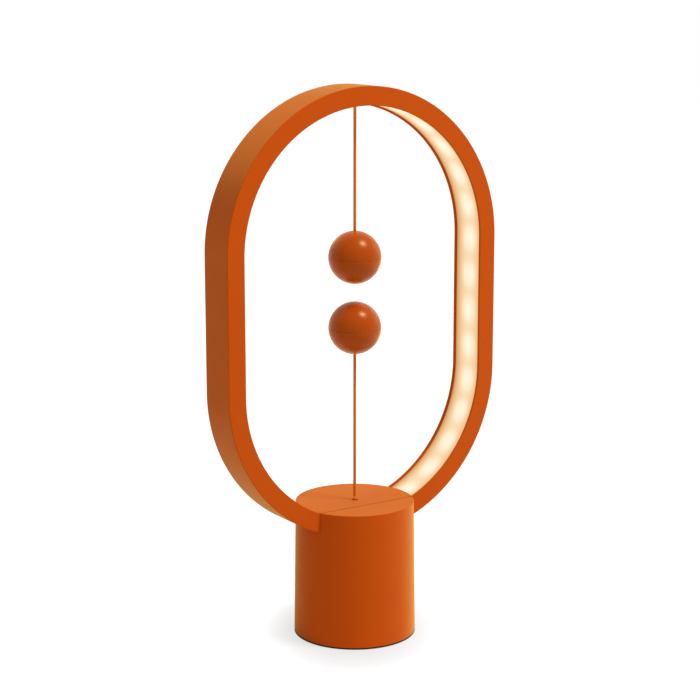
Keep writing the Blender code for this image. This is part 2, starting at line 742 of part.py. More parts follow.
def cup_profile():
    """Profile of the tapered base with a full top, down its outside and up its inside."""
    under = COVER_UNDERSIDE_Z
    return [
        (0, BASE_HEIGHT),
        (BASE_TOP_RADIUS - BASE_EDGE, BASE_HEIGHT),
        (shell_radius(BASE_HEIGHT - BASE_EDGE), BASE_HEIGHT - BASE_EDGE),
        (shell_radius(FOOT_REVEAL + BASE_EDGE), FOOT_REVEAL + BASE_EDGE),
        (BASE_BOTTOM_RADIUS - BASE_EDGE, FOOT_REVEAL),
        (BASE_BOTTOM_RADIUS - BASE_WALL, FOOT_REVEAL),
        (shell_bore(under), under),
        (0, under),
    ]


def moved(mesh, x, y, z=0.0):
    """A mesh shifted from where it was made."""
    mesh.transform(Matrix.Translation((x, y, z)))
    return mesh


def inlet_outline(margin):
    """The power inlet's rounded outline in (x, z), grown by a margin."""
    radius = INLET_HEIGHT / 2 + margin
    half = INLET_WIDTH / 2 - INLET_HEIGHT / 2
    right = arc_points(half, INLET_Z, radius, math.pi / 2, -math.pi / 2, COARSE_ARC_STEP)
    left = arc_points(-half, INLET_Z, radius, -math.pi / 2, -math.pi * 3 / 2, COARSE_ARC_STEP)
    return right + left


def cut_screw_hole(part, x, y, low, high, cutters, radius=SCREW_RADIUS + FIT_GAP):
    """Cuts an upright screw hole whose open end is at its lower height."""
    hole = rod_mesh("hole", radius, low - CUT_OVERRUN, high, SMALL_STEPS)
    combine(part, moved(hole, x, y), "DIFFERENCE", cutters)


def add_screw_post(part, x, y, cutters):
    """Adds a post from the base's top down to the cradle, with the hole for its screw."""
    foot = CRADLE_TOP_Z + FIT_GAP
    post = rod_mesh("post", POST_RADIUS, foot, COVER_UNDERSIDE_Z + SINK, SMALL_STEPS)
    combine(part, moved(post, x, y), "UNION", cutters)
    cut_screw_hole(part, x, y, foot, foot + POST_HOLE_DEPTH, cutters)


def build_base_shell(palette, parts, cutters):
    """The tapered base, with its front top segment, the ring's slot, posts and bosses."""
    part = turned("base_shell", cup_profile(), palette["orange"], parts, BASE_STEPS)
    seam_y = -HALF_DEPTH - FIT_GAP
    rear_low = (-BASE_REACH, seam_y, COVER_UNDERSIDE_Z - FIT_GAP)
    rear_high = (BASE_REACH, BASE_REACH, BASE_HEIGHT + CUT_OVERRUN)
    combine(part, box_mesh("rear_step", rear_low, rear_high), "DIFFERENCE", cutters)
    slot = slab_mesh("ring_slot", [stadium(-FIT_GAP)], seam_y, -seam_y, cutters)
    combine(part, slot, "DIFFERENCE", cutters)
    for side in (1, -1):
        add_screw_post(part, side * POST_X, -POST_Y, cutters)
    boss_top = BOTTOM_TOP_Z + WALL_BOSS_HEIGHT
    for angle in BOSS_ANGLES:
        boss = rod_mesh("boss", POST_RADIUS, BOTTOM_TOP_Z + FIT_GAP, boss_top, SMALL_STEPS)
        place = (BOSS_CIRCLE * math.cos(angle), BOSS_CIRCLE * math.sin(angle))
        combine(part, moved(boss, *place), "UNION", cutters)
        hole_top = BOTTOM_TOP_Z + FIT_GAP + POST_HOLE_DEPTH
        cut_screw_hole(part, *place, BOTTOM_TOP_Z, hole_top, cutters)
    window = slab_mesh("inlet_window", [inlet_outline(INLET_MARGIN)], BOARD_BACK_Y, BASE_REACH, cutters)
    combine(part, window, "DIFFERENCE", cutters)
    return part


def build_top_cover(palette, parts, cutters):
    """The rear part of the base's top, keyed round the ring, with posts and ribs that clamp it."""
    under = COVER_UNDERSIDE_Z
    profile = [
        (0, BASE_HEIGHT),
        (BASE_TOP_RADIUS - BASE_EDGE, BASE_HEIGHT),
        (shell_radius(BASE_HEIGHT - BASE_EDGE), BASE_HEIGHT - BASE_EDGE),
        (shell_radius(under), under),
        (0, under),
    ]
    part = turned("top_cover", profile, palette["orange"], parts, BASE_STEPS)
    front_low = (-BASE_REACH, -BASE_REACH, under - CUT_OVERRUN)
    front_high = (BASE_REACH, -HALF_DEPTH, BASE_HEIGHT + CUT_OVERRUN)
    combine(part, box_mesh("front_cut", front_low, front_high), "DIFFERENCE", cutters)
    half = [
        (-CUT_OVERRUN, HALF_DEPTH + FIT_GAP),
        (RING_RADIAL + FIT_GAP, HALF_DEPTH + FIT_GAP),
        (RING_RADIAL + FIT_GAP, CHANNEL_HALF - FIT_GAP),
        (DIFFUSER_FACE + FIT_GAP, CHANNEL_HALF - FIT_GAP),
    ]
    clearance = sweep_mesh("ring_clearance", ring_path(ring_end_angle()), mirrored(half), cutters)
    combine(part, clearance, "DIFFERENCE", cutters)
    for side in (1, -1):
        add_screw_post(part, side * POST_X, POST_Y, cutters)
        for across in (1, -1):
            combine(part, clamp_rib_mesh(side, across, cutters), "UNION", cutters)
    boss_low = under - STRING_BOSS_DEPTH
    boss = rod_mesh("boss", STRING_HOLE_RADIUS + STRING_BOSS_WALL, boss_low, under + SINK)
    combine(part, boss, "UNION", cutters)
    hole_high = BASE_HEIGHT + CUT_OVERRUN
    hole = rod_mesh("hole", STRING_HOLE_RADIUS, boss_low - CUT_OVERRUN, hole_high)
    combine(part, hole, "DIFFERENCE", cutters)
    return part


def clamp_rib_mesh(side, across, cutters):
    """A rib under the top cover whose lower edge follows the inside of the ring's side wall."""
    inset = RING_RADIAL + FIT_GAP
    radius = RING_RADIUS - inset
    end_x = min(CLAMP_RIB_END, lower_arc_x(inset, COVER_UNDERSIDE_Z - FIT_GAP))
    start = -math.pi / 2 + math.asin(CLAMP_RIB_START / radius)
    end = -math.pi / 2 + math.asin(end_x / radius)
    edge = arc_points(0, LOWER_CENTRE_Z, radius, start, end)
    top = COVER_UNDERSIDE_Z + SINK
    outline = edge + [(end_x, top), (CLAMP_RIB_START, top)]
    outline = [(side * x, z) for x, z in outline]
    middle = across * (HALF_DEPTH - RING_SIDE_WALL / 2)
    half = CLAMP_RIB_THICKNESS / 2
    return slab_mesh("clamp_rib", [outline], middle - half, middle + half, cutters)


def saddle_mesh(side, across, cutters):
    """An upright rib of the cradle whose top edge follows the ring's outer face."""
    radius = RING_RADIUS + FIT_GAP
    start = -math.pi / 2 + math.asin(SADDLE_START / radius)
    end = -math.pi / 2 + math.asin(SADDLE_END / radius)
    edge = arc_points(0, LOWER_CENTRE_Z, radius, start, end)
    foot = CRADLE_TOP_Z - SINK
    outline = [(SADDLE_START, foot)] + edge + [(SADDLE_END, foot)]
    outline = [(side * x, z) for x, z in outline]
    middle = across * SADDLE_SPREAD
    half = SADDLE_THICKNESS / 2
    return slab_mesh("saddle", [outline], middle - half, middle + half, cutters)


def build_ring_cradle(palette, parts, cutters):
    """The plate inside the base whose ribs carry the ring and whose tower guides the pull rod."""
    plate = rod_mesh("ring_cradle", CRADLE_RADIUS, CRADLE_BOTTOM_Z, CRADLE_TOP_Z, INNER_STEPS)
    part = add_mesh("ring_cradle", plate, palette["inner"], parts)
    for side in (1, -1):
        for across in (1, -1):
            combine(part, saddle_mesh(side, across, cutters), "UNION", cutters)
    tower = rod_mesh("tower", TOWER_RADIUS, CRADLE_TOP_Z - SINK, TOWER_TOP_Z)
    combine(part, tower, "UNION", cutters)
    rib_front = SWITCH_WIDTH / 2 + FIT_GAP
    rib_low = (SWITCH_OFFSET, rib_front, SWITCH_BOTTOM_Z)
    rib_back = rib_front + SWITCH_RIB_THICKNESS
    rib_high = (SWITCH_OFFSET + SWITCH_LENGTH, rib_back, CRADLE_BOTTOM_Z + SINK)
    combine(part, box_mesh("switch_rib", rib_low, rib_high), "UNION", cutters)
    low = CRADLE_BOTTOM_Z - CUT_OVERRUN
    bore = rod_mesh("bore", BUSH_RADIUS + FIT_GAP, low, TOWER_TOP_Z + CUT_OVERRUN)
    combine(part, bore, "DIFFERENCE", cutters)
    high = CRADLE_TOP_Z + CUT_OVERRUN
    for x in (POST_X, -POST_X):
        for y in (POST_Y, -POST_Y):
            cut_screw_hole(part, x, y, CRADLE_BOTTOM_Z, high, cutters)
    lead_bore = LEAD_RADIUS + FIT_GAP
    cut_screw_hole(part, -LEAD_HOLE_X, 0, CRADLE_BOTTOM_Z, high, cutters, lead_bore)
    cut_switch_holes(part, rib_front, rib_back, cutters)
    return part


def switch_screw_places():
    """Where the two small screws go through the micro switch, in (x, z)."""
    z = SWITCH_BOTTOM_Z + SWITCH_HEIGHT - SWITCH_HOLE_INSET / 2
    low_x = SWITCH_OFFSET + SWITCH_HOLE_INSET
    high_x = SWITCH_OFFSET + SWITCH_LENGTH - SWITCH_HOLE_INSET
    return [(low_x, z), (high_x, z)]


def cut_switch_holes(part, front, back, cutters):
    """Cuts the holes for the micro switch's two screws, which run along Y."""
    for x, z in switch_screw_places():
        length = back - front + 2 * CUT_OVERRUN
        hole = rod_mesh("hole", SMALL_SCREW_RADIUS + FIT_GAP, 0, length, SMALL_STEPS)
        hole.transform(Matrix.Rotation(-math.pi / 2, 4, "X"))
        combine(part, moved(hole, x, front - CUT_OVERRUN, z), "DIFFERENCE", cutters)


def screw_profile(radius, length, head_radius, head_height):
    """Profile of a screw whose head sits on z = 0 and whose shank goes down."""
    return [
        (0, head_height),
        (head_radius, head_height),
        (head_radius, 0),
        (radius, 0),
        (radius, -length),
        (0, -length),
    ]


def build_screw(name, place, direction, small, palette, parts, length=SCREW_LENGTH):
    """A screw with its head's underside at a place and its shank along a direction."""
    radius = SMALL_SCREW_RADIUS if small else SCREW_RADIUS
    head_radius = SMALL_SCREW_HEAD_RADIUS if small else SCREW_HEAD_RADIUS
    head_height = SMALL_SCREW_HEAD_HEIGHT if small else SCREW_HEAD_HEIGHT
    profile = screw_profile(radius, length, head_radius, head_height)
    part = turned(name, profile, palette["steel"], parts, SMALL_STEPS)
    part.rotation_euler = Vector(direction).to_track_quat("-Z", "Y").to_euler()
    part.location = place
    return part


def build_cradle_screws(palette, parts):
    """Four screws that pull the base's top down onto the ring and its cradle."""
    number = 1
    for y in (-POST_Y, POST_Y):
        for x in (-POST_X, POST_X):
            place = (x, y, CRADLE_BOTTOM_Z - FIT_GAP)
            build_screw(f"cradle_screw_{number}", place, (0, 0, 1), False, palette, parts)
            number += 1


def build_guide_bush(palette, parts):
    """The brass tube in the cradle's tower that the pull rod slides in."""
    sleeve_end = COLLAR_TOP_Z + FIT_GAP
    profile = [
        (BUSH_BORE, TOWER_TOP_Z),
        (BUSH_RADIUS, TOWER_TOP_Z),
        (BUSH_RADIUS, FLANGE_TOP_Z),
        (BUSH_FLANGE_RADIUS, FLANGE_TOP_Z),
        (BUSH_FLANGE_RADIUS, FLANGE_BOTTOM_Z),
        (BUSH_RADIUS, FLANGE_BOTTOM_Z),
        (BUSH_RADIUS, sleeve_end),
        (BUSH_BORE, sleeve_end),
    ]
    return turned("guide_bush", profile, palette["brass"], parts, ROUND_STEPS, True)


def build_pull_rod(pivot, palette, parts):
    """The rod that the lower string lifts: a cup for the knot above, a groove for the collar below."""
    collar_bottom = COLLAR_TOP_Z - COLLAR_THICKNESS
    groove = ROD_RADIUS - ROD_GROOVE_DEPTH
    groove_top = COLLAR_TOP_Z + FIT_GAP
    groove_bottom = collar_bottom - FIT_GAP
    head = ROD_CUP_RADIUS + ROD_CUP_WALL
    profile = [
        (0, ROD_TOP_Z - ROD_CUP_DEPTH),
        (ROD_CUP_RADIUS, ROD_TOP_Z - ROD_CUP_DEPTH),
        (ROD_CUP_RADIUS, ROD_TOP_Z),
        (head, ROD_TOP_Z),
        (head, ROD_HEAD_Z),
        (ROD_RADIUS, ROD_HEAD_Z),
        (ROD_RADIUS, groove_top),
        (groove, groove_top),
        (groove, groove_bottom),
        (ROD_RADIUS, groove_bottom),
        (ROD_RADIUS, groove_bottom - ROD_TAIL),
        (0, groove_bottom - ROD_TAIL),
    ]
    rod = turned("pull_rod", profile, palette["steel"], parts)
    bore = groove + FIT_GAP / 2
    ring = [
        (bore, COLLAR_TOP_Z),
        (COLLAR_RADIUS, COLLAR_TOP_Z),
        (COLLAR_RADIUS, collar_bottom),
        (bore, collar_bottom),
    ]
    collar = turned("rod_collar", ring, palette["steel"], parts, ROUND_STEPS, True)
    knot = build_knot("pull_knot", KNOT_RADIUS, palette, parts)
    for part in (rod, collar, knot):
        part.parent = pivot
        part.location = -pivot.location
    knot.location += Vector((0, 0, PULL_KNOT_Z))
    tail_bottom = PULL_KNOT_Z + KNOT_RADIUS + FIT_GAP
    tail_top = LOWER_PIVOT_Z - BEND_REACH
    build_string("lower_string_tail", tail_bottom, tail_top, pivot, palette, parts)


def build_return_spring(palette, parts):
    """The coil spring that pushes the collar down when the lower string goes slack."""
    radius = BUSH_RADIUS + 2 * FIT_GAP + SPRING_WIRE_RADIUS
    low = COLLAR_TOP_Z + FIT_GAP + SPRING_WIRE_RADIUS
    high = FLANGE_BOTTOM_Z - FIT_GAP - SPRING_WIRE_RADIUS
    count = SPRING_TURNS * SPRING_POINTS_PER_TURN
    points = []
    for i in range(count + 1):
        share = i / count
        angle = share * SPRING_TURNS * 2 * math.pi
        height = low + (high - low) * share
        points.append((radius * math.cos(angle), radius * math.sin(angle), height))
    mesh = tube_mesh("return_spring", points, SPRING_WIRE_RADIUS, parts, 1)
    return add_mesh("return_spring", mesh, palette["steel"], parts)


def build_micro_switch(palette, parts, cutters):
    """The switch body on the cradle's rib, with its lever and button."""
    half_width = SWITCH_WIDTH / 2
    end_x = SWITCH_OFFSET + SWITCH_LENGTH
    low = (SWITCH_OFFSET, -half_width, SWITCH_BOTTOM_Z)
    high = (end_x, half_width, SWITCH_BOTTOM_Z + SWITCH_HEIGHT)
    body = add_mesh("switch_body", box_mesh("switch_body", low, high), palette["inner"], parts)
    button_half = BUTTON_WIDTH / 2 + FIT_GAP
    reach = BUTTON_LENGTH / 2 + FIT_GAP
    pocket_top = BUTTON_BOTTOM_Z + BUTTON_HEIGHT + FIT_GAP
    pocket_low = (BUTTON_X - reach, -button_half, SWITCH_BOTTOM_Z - CUT_OVERRUN)
    pocket_high = (BUTTON_X + reach, button_half, pocket_top)
    combine(body, box_mesh("button_pocket", pocket_low, pocket_high), "DIFFERENCE", cutters)
    notch = LEVER_EYE_RADIUS + FIT_GAP
    notch_half = LEVER_WIDTH / 2 + FIT_GAP
    notch_low = (LEVER_PIVOT_X - notch, -notch_half, SWITCH_BOTTOM_Z - CUT_OVERRUN)
    notch_high = (LEVER_PIVOT_X + notch, notch_half, LEVER_PIVOT_Z + notch)
    combine(body, box_mesh("lever_notch", notch_low, notch_high), "DIFFERENCE", cutters)
    cut_switch_holes(body, -half_width, half_width, cutters)
    length = SWITCH_WIDTH + 2 * FIT_GAP + SWITCH_RIB_THICKNESS
    for number, (x, z) in enumerate(switch_screw_places(), start=1):
        place = (x, -half_width - FIT_GAP, z)
        build_screw(f"switch_screw_{number}", place, (0, 1, 0), True, palette, parts, length)
    build_lever(palette, parts)
    press = add_pivot("button_press", (BUTTON_X, 0, BUTTON_BOTTOM_Z), parts)
    low = (-BUTTON_LENGTH / 2, -BUTTON_WIDTH / 2, 0)
    high = (BUTTON_LENGTH / 2, BUTTON_WIDTH / 2, BUTTON_HEIGHT)
    button = add_mesh("switch_button", box_mesh("switch_button", low, high), palette["strip"], parts)
    button.parent = press


def build_lever(palette, parts):
    """The switch's bent lever: a flat arm that turns about a rolled eye at its far end."""
    pivot = add_pivot("lever_pivot", (LEVER_PIVOT_X, 0, LEVER_PIVOT_Z), parts)
    bottom = LEVER_BOTTOM_Z - LEVER_PIVOT_Z
    top = LEVER_TOP_Z - LEVER_PIVOT_Z
    tip = LEVER_TIP - LEVER_PIVOT_X
    half = LEVER_THICKNESS / 2
    eye = arc_points(0, 0, LEVER_EYE_RADIUS, -math.pi / 3, math.pi * 4 / 3, COARSE_ARC_STEP)
    outline = [(half, bottom)] + eye + [(-half, top), (tip, top), (tip, bottom)]
    mesh = slab_mesh("switch_lever", [outline], -LEVER_WIDTH / 2, LEVER_WIDTH / 2, parts)
    lever = add_mesh("switch_lever", mesh, palette["steel"], parts)
    lever.parent = pivot
    return lever


def build_bottom_cover(palette, parts, cutters):
    """The plate that closes the base, with the foot's seat below and the board's posts above."""
    plate = rod_mesh("bottom_cover", BOTTOM_RADIUS, FOOT_REVEAL, BOTTOM_TOP_Z, INNER_STEPS)
    part = add_mesh("bottom_cover", plate, palette["inner"], parts)
    seat_low = FOOT_REVEAL - CUT_OVERRUN
    seat = rod_mesh("foot_seat", FOOT_SEAT_RADIUS, seat_low, FOOT_SEAT_Z, INNER_STEPS)
    combine(part, seat, "DIFFERENCE", cutters)
    post_low = BOTTOM_TOP_Z - SINK
    post_high = BOARD_BOTTOM_Z - FIT_GAP
    bore = SMALL_SCREW_RADIUS + FIT_GAP
    for x in (BOARD_POST_OFFSET, -BOARD_POST_OFFSET):
        post = rod_mesh("post", BOARD_POST_RADIUS, post_low, post_high, SMALL_STEPS)
        combine(part, moved(post, x, BOARD_POST_Y), "UNION", cutters)
        hole = rod_mesh("hole", bore, BOTTOM_TOP_Z, post_high + CUT_OVERRUN, SMALL_STEPS)
        combine(part, moved(hole, x, BOARD_POST_Y), "DIFFERENCE", cutters)
    pocket_radius = SCREW_HEAD_RADIUS + FIT_GAP
    high = BOTTOM_TOP_Z + CUT_OVERRUN
    for x, y in bottom_screw_places() + weight_screw_places():
        cut_screw_hole(part, x, y, FOOT_REVEAL, screw_seat_z(), cutters, pocket_radius)
        cut_screw_hole(part, x, y, FOOT_REVEAL, high, cutters)
    return part


def screw_seat_z():
    """Height of the shelf in the bottom cover that the screw heads pull against."""
    return FOOT_SEAT_Z + SCREW_HEAD_HEIGHT + FIT_GAP


def bottom_screw_places():
    """Where the bottom cover is screwed to the shell's bosses."""
    return [(BOSS_CIRCLE * math.cos(angle), BOSS_CIRCLE * math.sin(angle)) for angle in BOSS_ANGLES]


def weight_screw_places():
    """Where the counterweight is screwed to the bottom cover."""
    return [(-WEIGHT_SCREW_X, 0), (WEIGHT_SCREW_X, 0)]


def build_bottom_screws(palette, parts):
    """The screws that come up through the bottom cover."""
    head_z = screw_seat_z() - FIT_GAP
    for number, (x, y) in enumerate(bottom_screw_places(), start=1):
        build_screw(f"bottom_screw_{number}", (x, y, head_z), (0, 0, 1), False, palette, parts)
    for number, (x, y) in enumerate(weight_screw_places(), start=1):
        build_screw(f"weight_screw_{number}", (x, y, head_z), (0, 0, 1), False, palette, parts)


def build_foot_pad(palette, parts):
    """The rubber disc that the lamp stands on."""
    radius = FOOT_SEAT_RADIUS - FIT_GAP
    mesh = rod_mesh("foot_pad", radius, 0, FOOT_THICKNESS, INNER_STEPS)
    return add_mesh("foot_pad", mesh, palette["rubber"], parts)


def build_counterweight(palette, parts, cutters):
    """The iron block that keeps the lamp upright, cut flat at the back for the driver board."""
    top = WEIGHT_BOTTOM_Z + WEIGHT_HEIGHT
    profile = [
        (0, top),
        (WEIGHT_RADIUS - WEIGHT_EDGE, top),
        (WEIGHT_RADIUS, top - WEIGHT_EDGE),
        (WEIGHT_RADIUS, WEIGHT_BOTTOM_Z),
        (0, WEIGHT_BOTTOM_Z),
    ]
    part = turned("counterweight", profile, palette["iron"], parts, INNER_STEPS)
    wide = WEIGHT_RADIUS + CUT_OVERRUN
    low = (-wide, WEIGHT_FLAT_Y, WEIGHT_BOTTOM_Z - CUT_OVERRUN)
    combine(part, box_mesh("flat", low, (wide, wide, top + CUT_OVERRUN)), "DIFFERENCE", cutters)
    for x, y in weight_screw_places():
        hole_top = WEIGHT_BOTTOM_Z + POST_HOLE_DEPTH
        cut_screw_hole(part, x, y, WEIGHT_BOTTOM_Z, hole_top, cutters)
    return part


def build_driver_board(palette, parts, cutters):
    """The circuit board behind the counterweight, with its coil, capacitor and driver chip."""
    half = BOARD_WIDTH / 2
    low = (-half, BOARD_FRONT_Y, BOARD_BOTTOM_Z)
    high = (half, BOARD_BACK_Y, BOARD_TOP_Z)
    part = add_mesh("driver_board", box_mesh("driver_board", low, high), palette["board"], parts)
    bore = SMALL_SCREW_RADIUS + FIT_GAP
    hole_top = BOARD_TOP_Z + CUT_OVERRUN
    length = BOARD_THICKNESS + BOARD_LIFT
    for number, x in enumerate((-BOARD_POST_OFFSET, BOARD_POST_OFFSET), start=1):
        cut_screw_hole(part, x, BOARD_POST_Y, BOARD_BOTTOM_Z, hole_top, cutters, bore)
        place = (x, BOARD_POST_Y, BOARD_TOP_Z + FIT_GAP)
        build_screw(f"board_screw_{number}", place, (0, 0, -1), True, palette, parts, length)
    add_board_components(part, cutters)
    return part


def add_board_components(board, cutters):
    """Adds the coil, the capacitor and the driver chip to the circuit board."""
    edge = BOARD_WIDTH / 2 - COMPONENT_INSET
    foot = BOARD_TOP_Z - COMPONENT_SINK
    middle = (BOARD_FRONT_Y + BOARD_BACK_Y) / 2
    coil_low = (-edge, middle - COIL_SIZE / 2, foot)
    coil_high = (-edge + COIL_SIZE, middle + COIL_SIZE / 2, BOARD_TOP_Z + COIL_HEIGHT)
    combine(board, box_mesh("coil", coil_low, coil_high), "UNION", cutters)
    top = BOARD_TOP_Z + CAPACITOR_HEIGHT
    capacitor = rod_mesh("capacitor", CAPACITOR_RADIUS, foot, top, SMALL_STEPS)
    combine(board, moved(capacitor, edge - CAPACITOR_RADIUS, middle), "UNION", cutters)
    chip_low = (-CHIP_WIDTH / 2, BOARD_POST_Y, foot)
    chip_high = (CHIP_WIDTH / 2, middle, BOARD_TOP_Z + CHIP_HEIGHT)
    combine(board, box_mesh("chip", chip_low, chip_high), "UNION", cutters)


def build_power_inlet(palette, parts, cutters):
    """The small power inlet on the board's rear edge, open to the back of the base."""
    start = INLET_MOUTH_Y - INLET_LENGTH
    mesh = slab_mesh("power_inlet", [inlet_outline(0)], start, INLET_MOUTH_Y, parts)
    part = add_mesh("power_inlet", mesh, palette["steel"], parts)
    outline = inlet_outline(-INLET_WALL)
    floor = INLET_MOUTH_Y - INLET_DEPTH
    mouth = slab_mesh("mouth", [outline], floor, INLET_MOUTH_Y + CUT_OVERRUN, cutters)
    combine(part, mouth, "DIFFERENCE", cutters)
    return part


def smooth_route(points):
    """Points of a smooth curve through a few chosen ones."""
    route = []
    ends = [points[0]] + points + [points[-1]]
    for i in range(1, len(ends) - 2):
        before, start, stop, after = (Vector(ends[i + k]) for k in (-1, 0, 1, 2))
        for step in range(ROUTE_STEPS):
            t = step / ROUTE_STEPS
            bend = (2 * before - 5 * start + 4 * stop - after) * t**2
            twist = (3 * start - before - 3 * stop + after) * t**3
            route.append((2 * start + (stop - before) * t + bend + twist) / 2)
    route.append(Vector(points[-1]))
    return route


def build_leads(palette, parts):
    """The two leads inside the base: board to light strip, and board to switch."""
    channel_x = RING_END_GAP / 2 + 2 * LEAD_RADIUS
    channel_z = lower_arc_z(RING_BAND, channel_x) + 2 * LEAD_RADIUS
    joint_z = lower_arc_z(RING_BAND, RING_END_GAP) + 2 * LEAD_RADIUS
    board_z = BOARD_TOP_Z + LEAD_RADIUS + FIT_GAP
    landing_y = BOARD_POST_Y + BOARD_POST_INSET
    half_way = (CRADLE_BOTTOM_Z + BOARD_TOP_Z) / 2
    strip_route = [
        (-RING_END_GAP, 0, joint_z),
        (-channel_x, 0, channel_z),
        (-LEAD_HOLE_X - LEAD_RADIUS, 0, channel_z - LEAD_RADIUS / 2),
        (-LEAD_HOLE_X, 0, RING_BOTTOM_Z),
        (-LEAD_HOLE_X, 0, CRADLE_TOP_Z + 2 * LEAD_RADIUS),
        (-LEAD_HOLE_X, 0, CRADLE_BOTTOM_Z - 2 * LEAD_RADIUS),
        (-LEAD_HOLE_X, 0, CRADLE_BOTTOM_Z - 4 * LEAD_RADIUS),
        (-LEAD_HOLE_X, landing_y / 2, half_way),
        (-LEAD_LANDING_X, landing_y, board_z + LEAD_SLACK),
        (-LEAD_LANDING_X, landing_y, board_z),
    ]
    switch_z = SWITCH_BOTTOM_Z + SWITCH_HEIGHT / 2
    start_x = SWITCH_OFFSET + SWITCH_LENGTH + FIT_GAP
    switch_route = [
        (start_x, 0, switch_z),
        (start_x + LEAD_SLACK, 0, switch_z - LEAD_RADIUS),
        (start_x, landing_y / 2, half_way),
        (LEAD_LANDING_X, landing_y, board_z + LEAD_SLACK),
        (LEAD_LANDING_X, landing_y, board_z),
    ]
    for name, route in (("strip_lead", strip_route), ("switch_lead", switch_route)):
        mesh = tube_mesh(name, smooth_route(route), LEAD_RADIUS, parts, 1)
        add_mesh(name, mesh, palette["lead"], parts)


def main():
    """Builds the lamp."""
    remove_old_objects()
    parts = make_collection("magnetic_balance_lamp")
    cutters = make_collection("cutters")
    palette = make_palette()
    build_ring_frame(palette, parts)
    build_diffuser(palette, parts, cutters)
    build_led_strip(palette, parts, cutters)
    build_upper_hanging(palette, parts)
    build_lower_standing(palette, parts)
    build_base_shell(palette, parts, cutters)
    build_top_cover(palette, parts, cutters)
    build_ring_cradle(palette, parts, cutters)
    build_cradle_screws(palette, parts)
    build_guide_bush(palette, parts)
    pull = add_pivot("pull_axis", (0, 0, ROD_HEAD_Z), parts)
    build_pull_rod(pull, palette, parts)
    build_return_spring(palette, parts)
    build_micro_switch(palette, parts, cutters)
    build_bottom_cover(palette, parts, cutters)
    build_bottom_screws(palette, parts)
    build_foot_pad(palette, parts)
    build_counterweight(palette, parts, cutters)
    build_driver_board(palette, parts, cutters)
    build_power_inlet(palette, parts, cutters)
    build_leads(palette, parts)


main()
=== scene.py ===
"""Studio scene of a magnetic balance lamp, lit, with its two balls held apart in mid-air.

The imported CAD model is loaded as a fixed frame. The pieces that show are made again here as fine
surfaces worked out with numpy, in the places that the frame gives them, and every piece gets a
procedural finish. Lengths are in metres, Z is up and the lamp's front is towards -Y.
"""

from __future__ import annotations

import json
import logging
import math
from dataclasses import dataclass, field
from enum import Enum

import bmesh
import bpy
import numpy as np
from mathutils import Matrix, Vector

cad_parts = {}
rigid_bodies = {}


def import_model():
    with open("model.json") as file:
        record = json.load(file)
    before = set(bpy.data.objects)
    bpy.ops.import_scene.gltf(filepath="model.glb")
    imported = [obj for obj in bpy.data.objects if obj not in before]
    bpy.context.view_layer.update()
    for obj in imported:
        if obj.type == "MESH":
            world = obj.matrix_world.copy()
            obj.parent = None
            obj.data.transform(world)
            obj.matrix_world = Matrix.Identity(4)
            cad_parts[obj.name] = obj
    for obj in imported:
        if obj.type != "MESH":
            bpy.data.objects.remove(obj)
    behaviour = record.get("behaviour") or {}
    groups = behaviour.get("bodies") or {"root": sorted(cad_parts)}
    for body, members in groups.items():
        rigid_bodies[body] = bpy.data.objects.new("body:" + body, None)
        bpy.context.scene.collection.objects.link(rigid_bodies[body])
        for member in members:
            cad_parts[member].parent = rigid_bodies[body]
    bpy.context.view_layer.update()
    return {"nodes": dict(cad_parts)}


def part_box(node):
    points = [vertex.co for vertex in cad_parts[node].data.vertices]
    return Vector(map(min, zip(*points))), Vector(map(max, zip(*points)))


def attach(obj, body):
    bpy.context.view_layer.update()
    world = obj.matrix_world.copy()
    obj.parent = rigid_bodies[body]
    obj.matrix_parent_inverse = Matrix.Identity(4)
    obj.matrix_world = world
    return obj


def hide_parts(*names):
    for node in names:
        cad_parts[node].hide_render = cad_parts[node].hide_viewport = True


LOG = logging.getLogger("balance_lamp")
MM = 0.001
# Distance of the extra point on each flat from its corner, in runs of the corner's arc.
PAST_ARC = 1.3
Points = np.ndarray
Socket = bpy.types.NodeSocket


class Body(Enum):
    """The moving bodies that scene pieces ride on."""

    LAMP = "lamp"
    UPPER_CORD = "upper_cord"
    UPPER_BALL = "upper_ball"
    PULL = "pull"
    LOWER_CORD = "lower_cord"
    LOWER_BALL = "lower_ball"


class Pole(Enum):
    """Which way the string leaves a ball."""

    UP = 1
    DOWN = -1


class Axis(Enum):
    """Which way an outline is carried straight on."""

    X = 0
    Y = 1
    Z = 2


def linear(code: str, alpha: float = 1.0) -> tuple[float, float, float, float]:
    """Turns an sRGB hex value into a linear colour.

    Args:
        code: Six hex digits after a hash sign.
        alpha: Fourth channel.

    Returns:
        Linear red, green, blue and alpha.
    """
    parts = [int(code[i : i + 2], 16) / 255 for i in (1, 3, 5)]
    red, green, blue = (c / 12.92 if c <= 0.04045 else ((c + 0.055) / 1.055) ** 2.4 for c in parts)
    return red, green, blue, alpha


def add_node(
    tree: bpy.types.NodeTree,
    kind: str,
    links: dict[str | int, Socket] | None = None,
    values: dict[str | int, object] | None = None,
    **settings: object,
) -> bpy.types.Node:
    """Adds a node with its settings, socket values and links.

    Args:
        tree: Node tree that takes the node.
        kind: Node type, such as ShaderNodeTexNoise.
        links: Output socket for each of the node's inputs that is fed.
        values: Constant for each of the node's inputs that is set.
        settings: Properties of the node.

    Returns:
        The new node.
    """
    node = tree.nodes.new(kind)
    for key, value in settings.items():
        setattr(node, key, value)
    for key, value in (values or {}).items():
        node.inputs[key].default_value = value
    for key, socket in (links or {}).items():
        tree.links.new(socket, node.inputs[key])
    return node


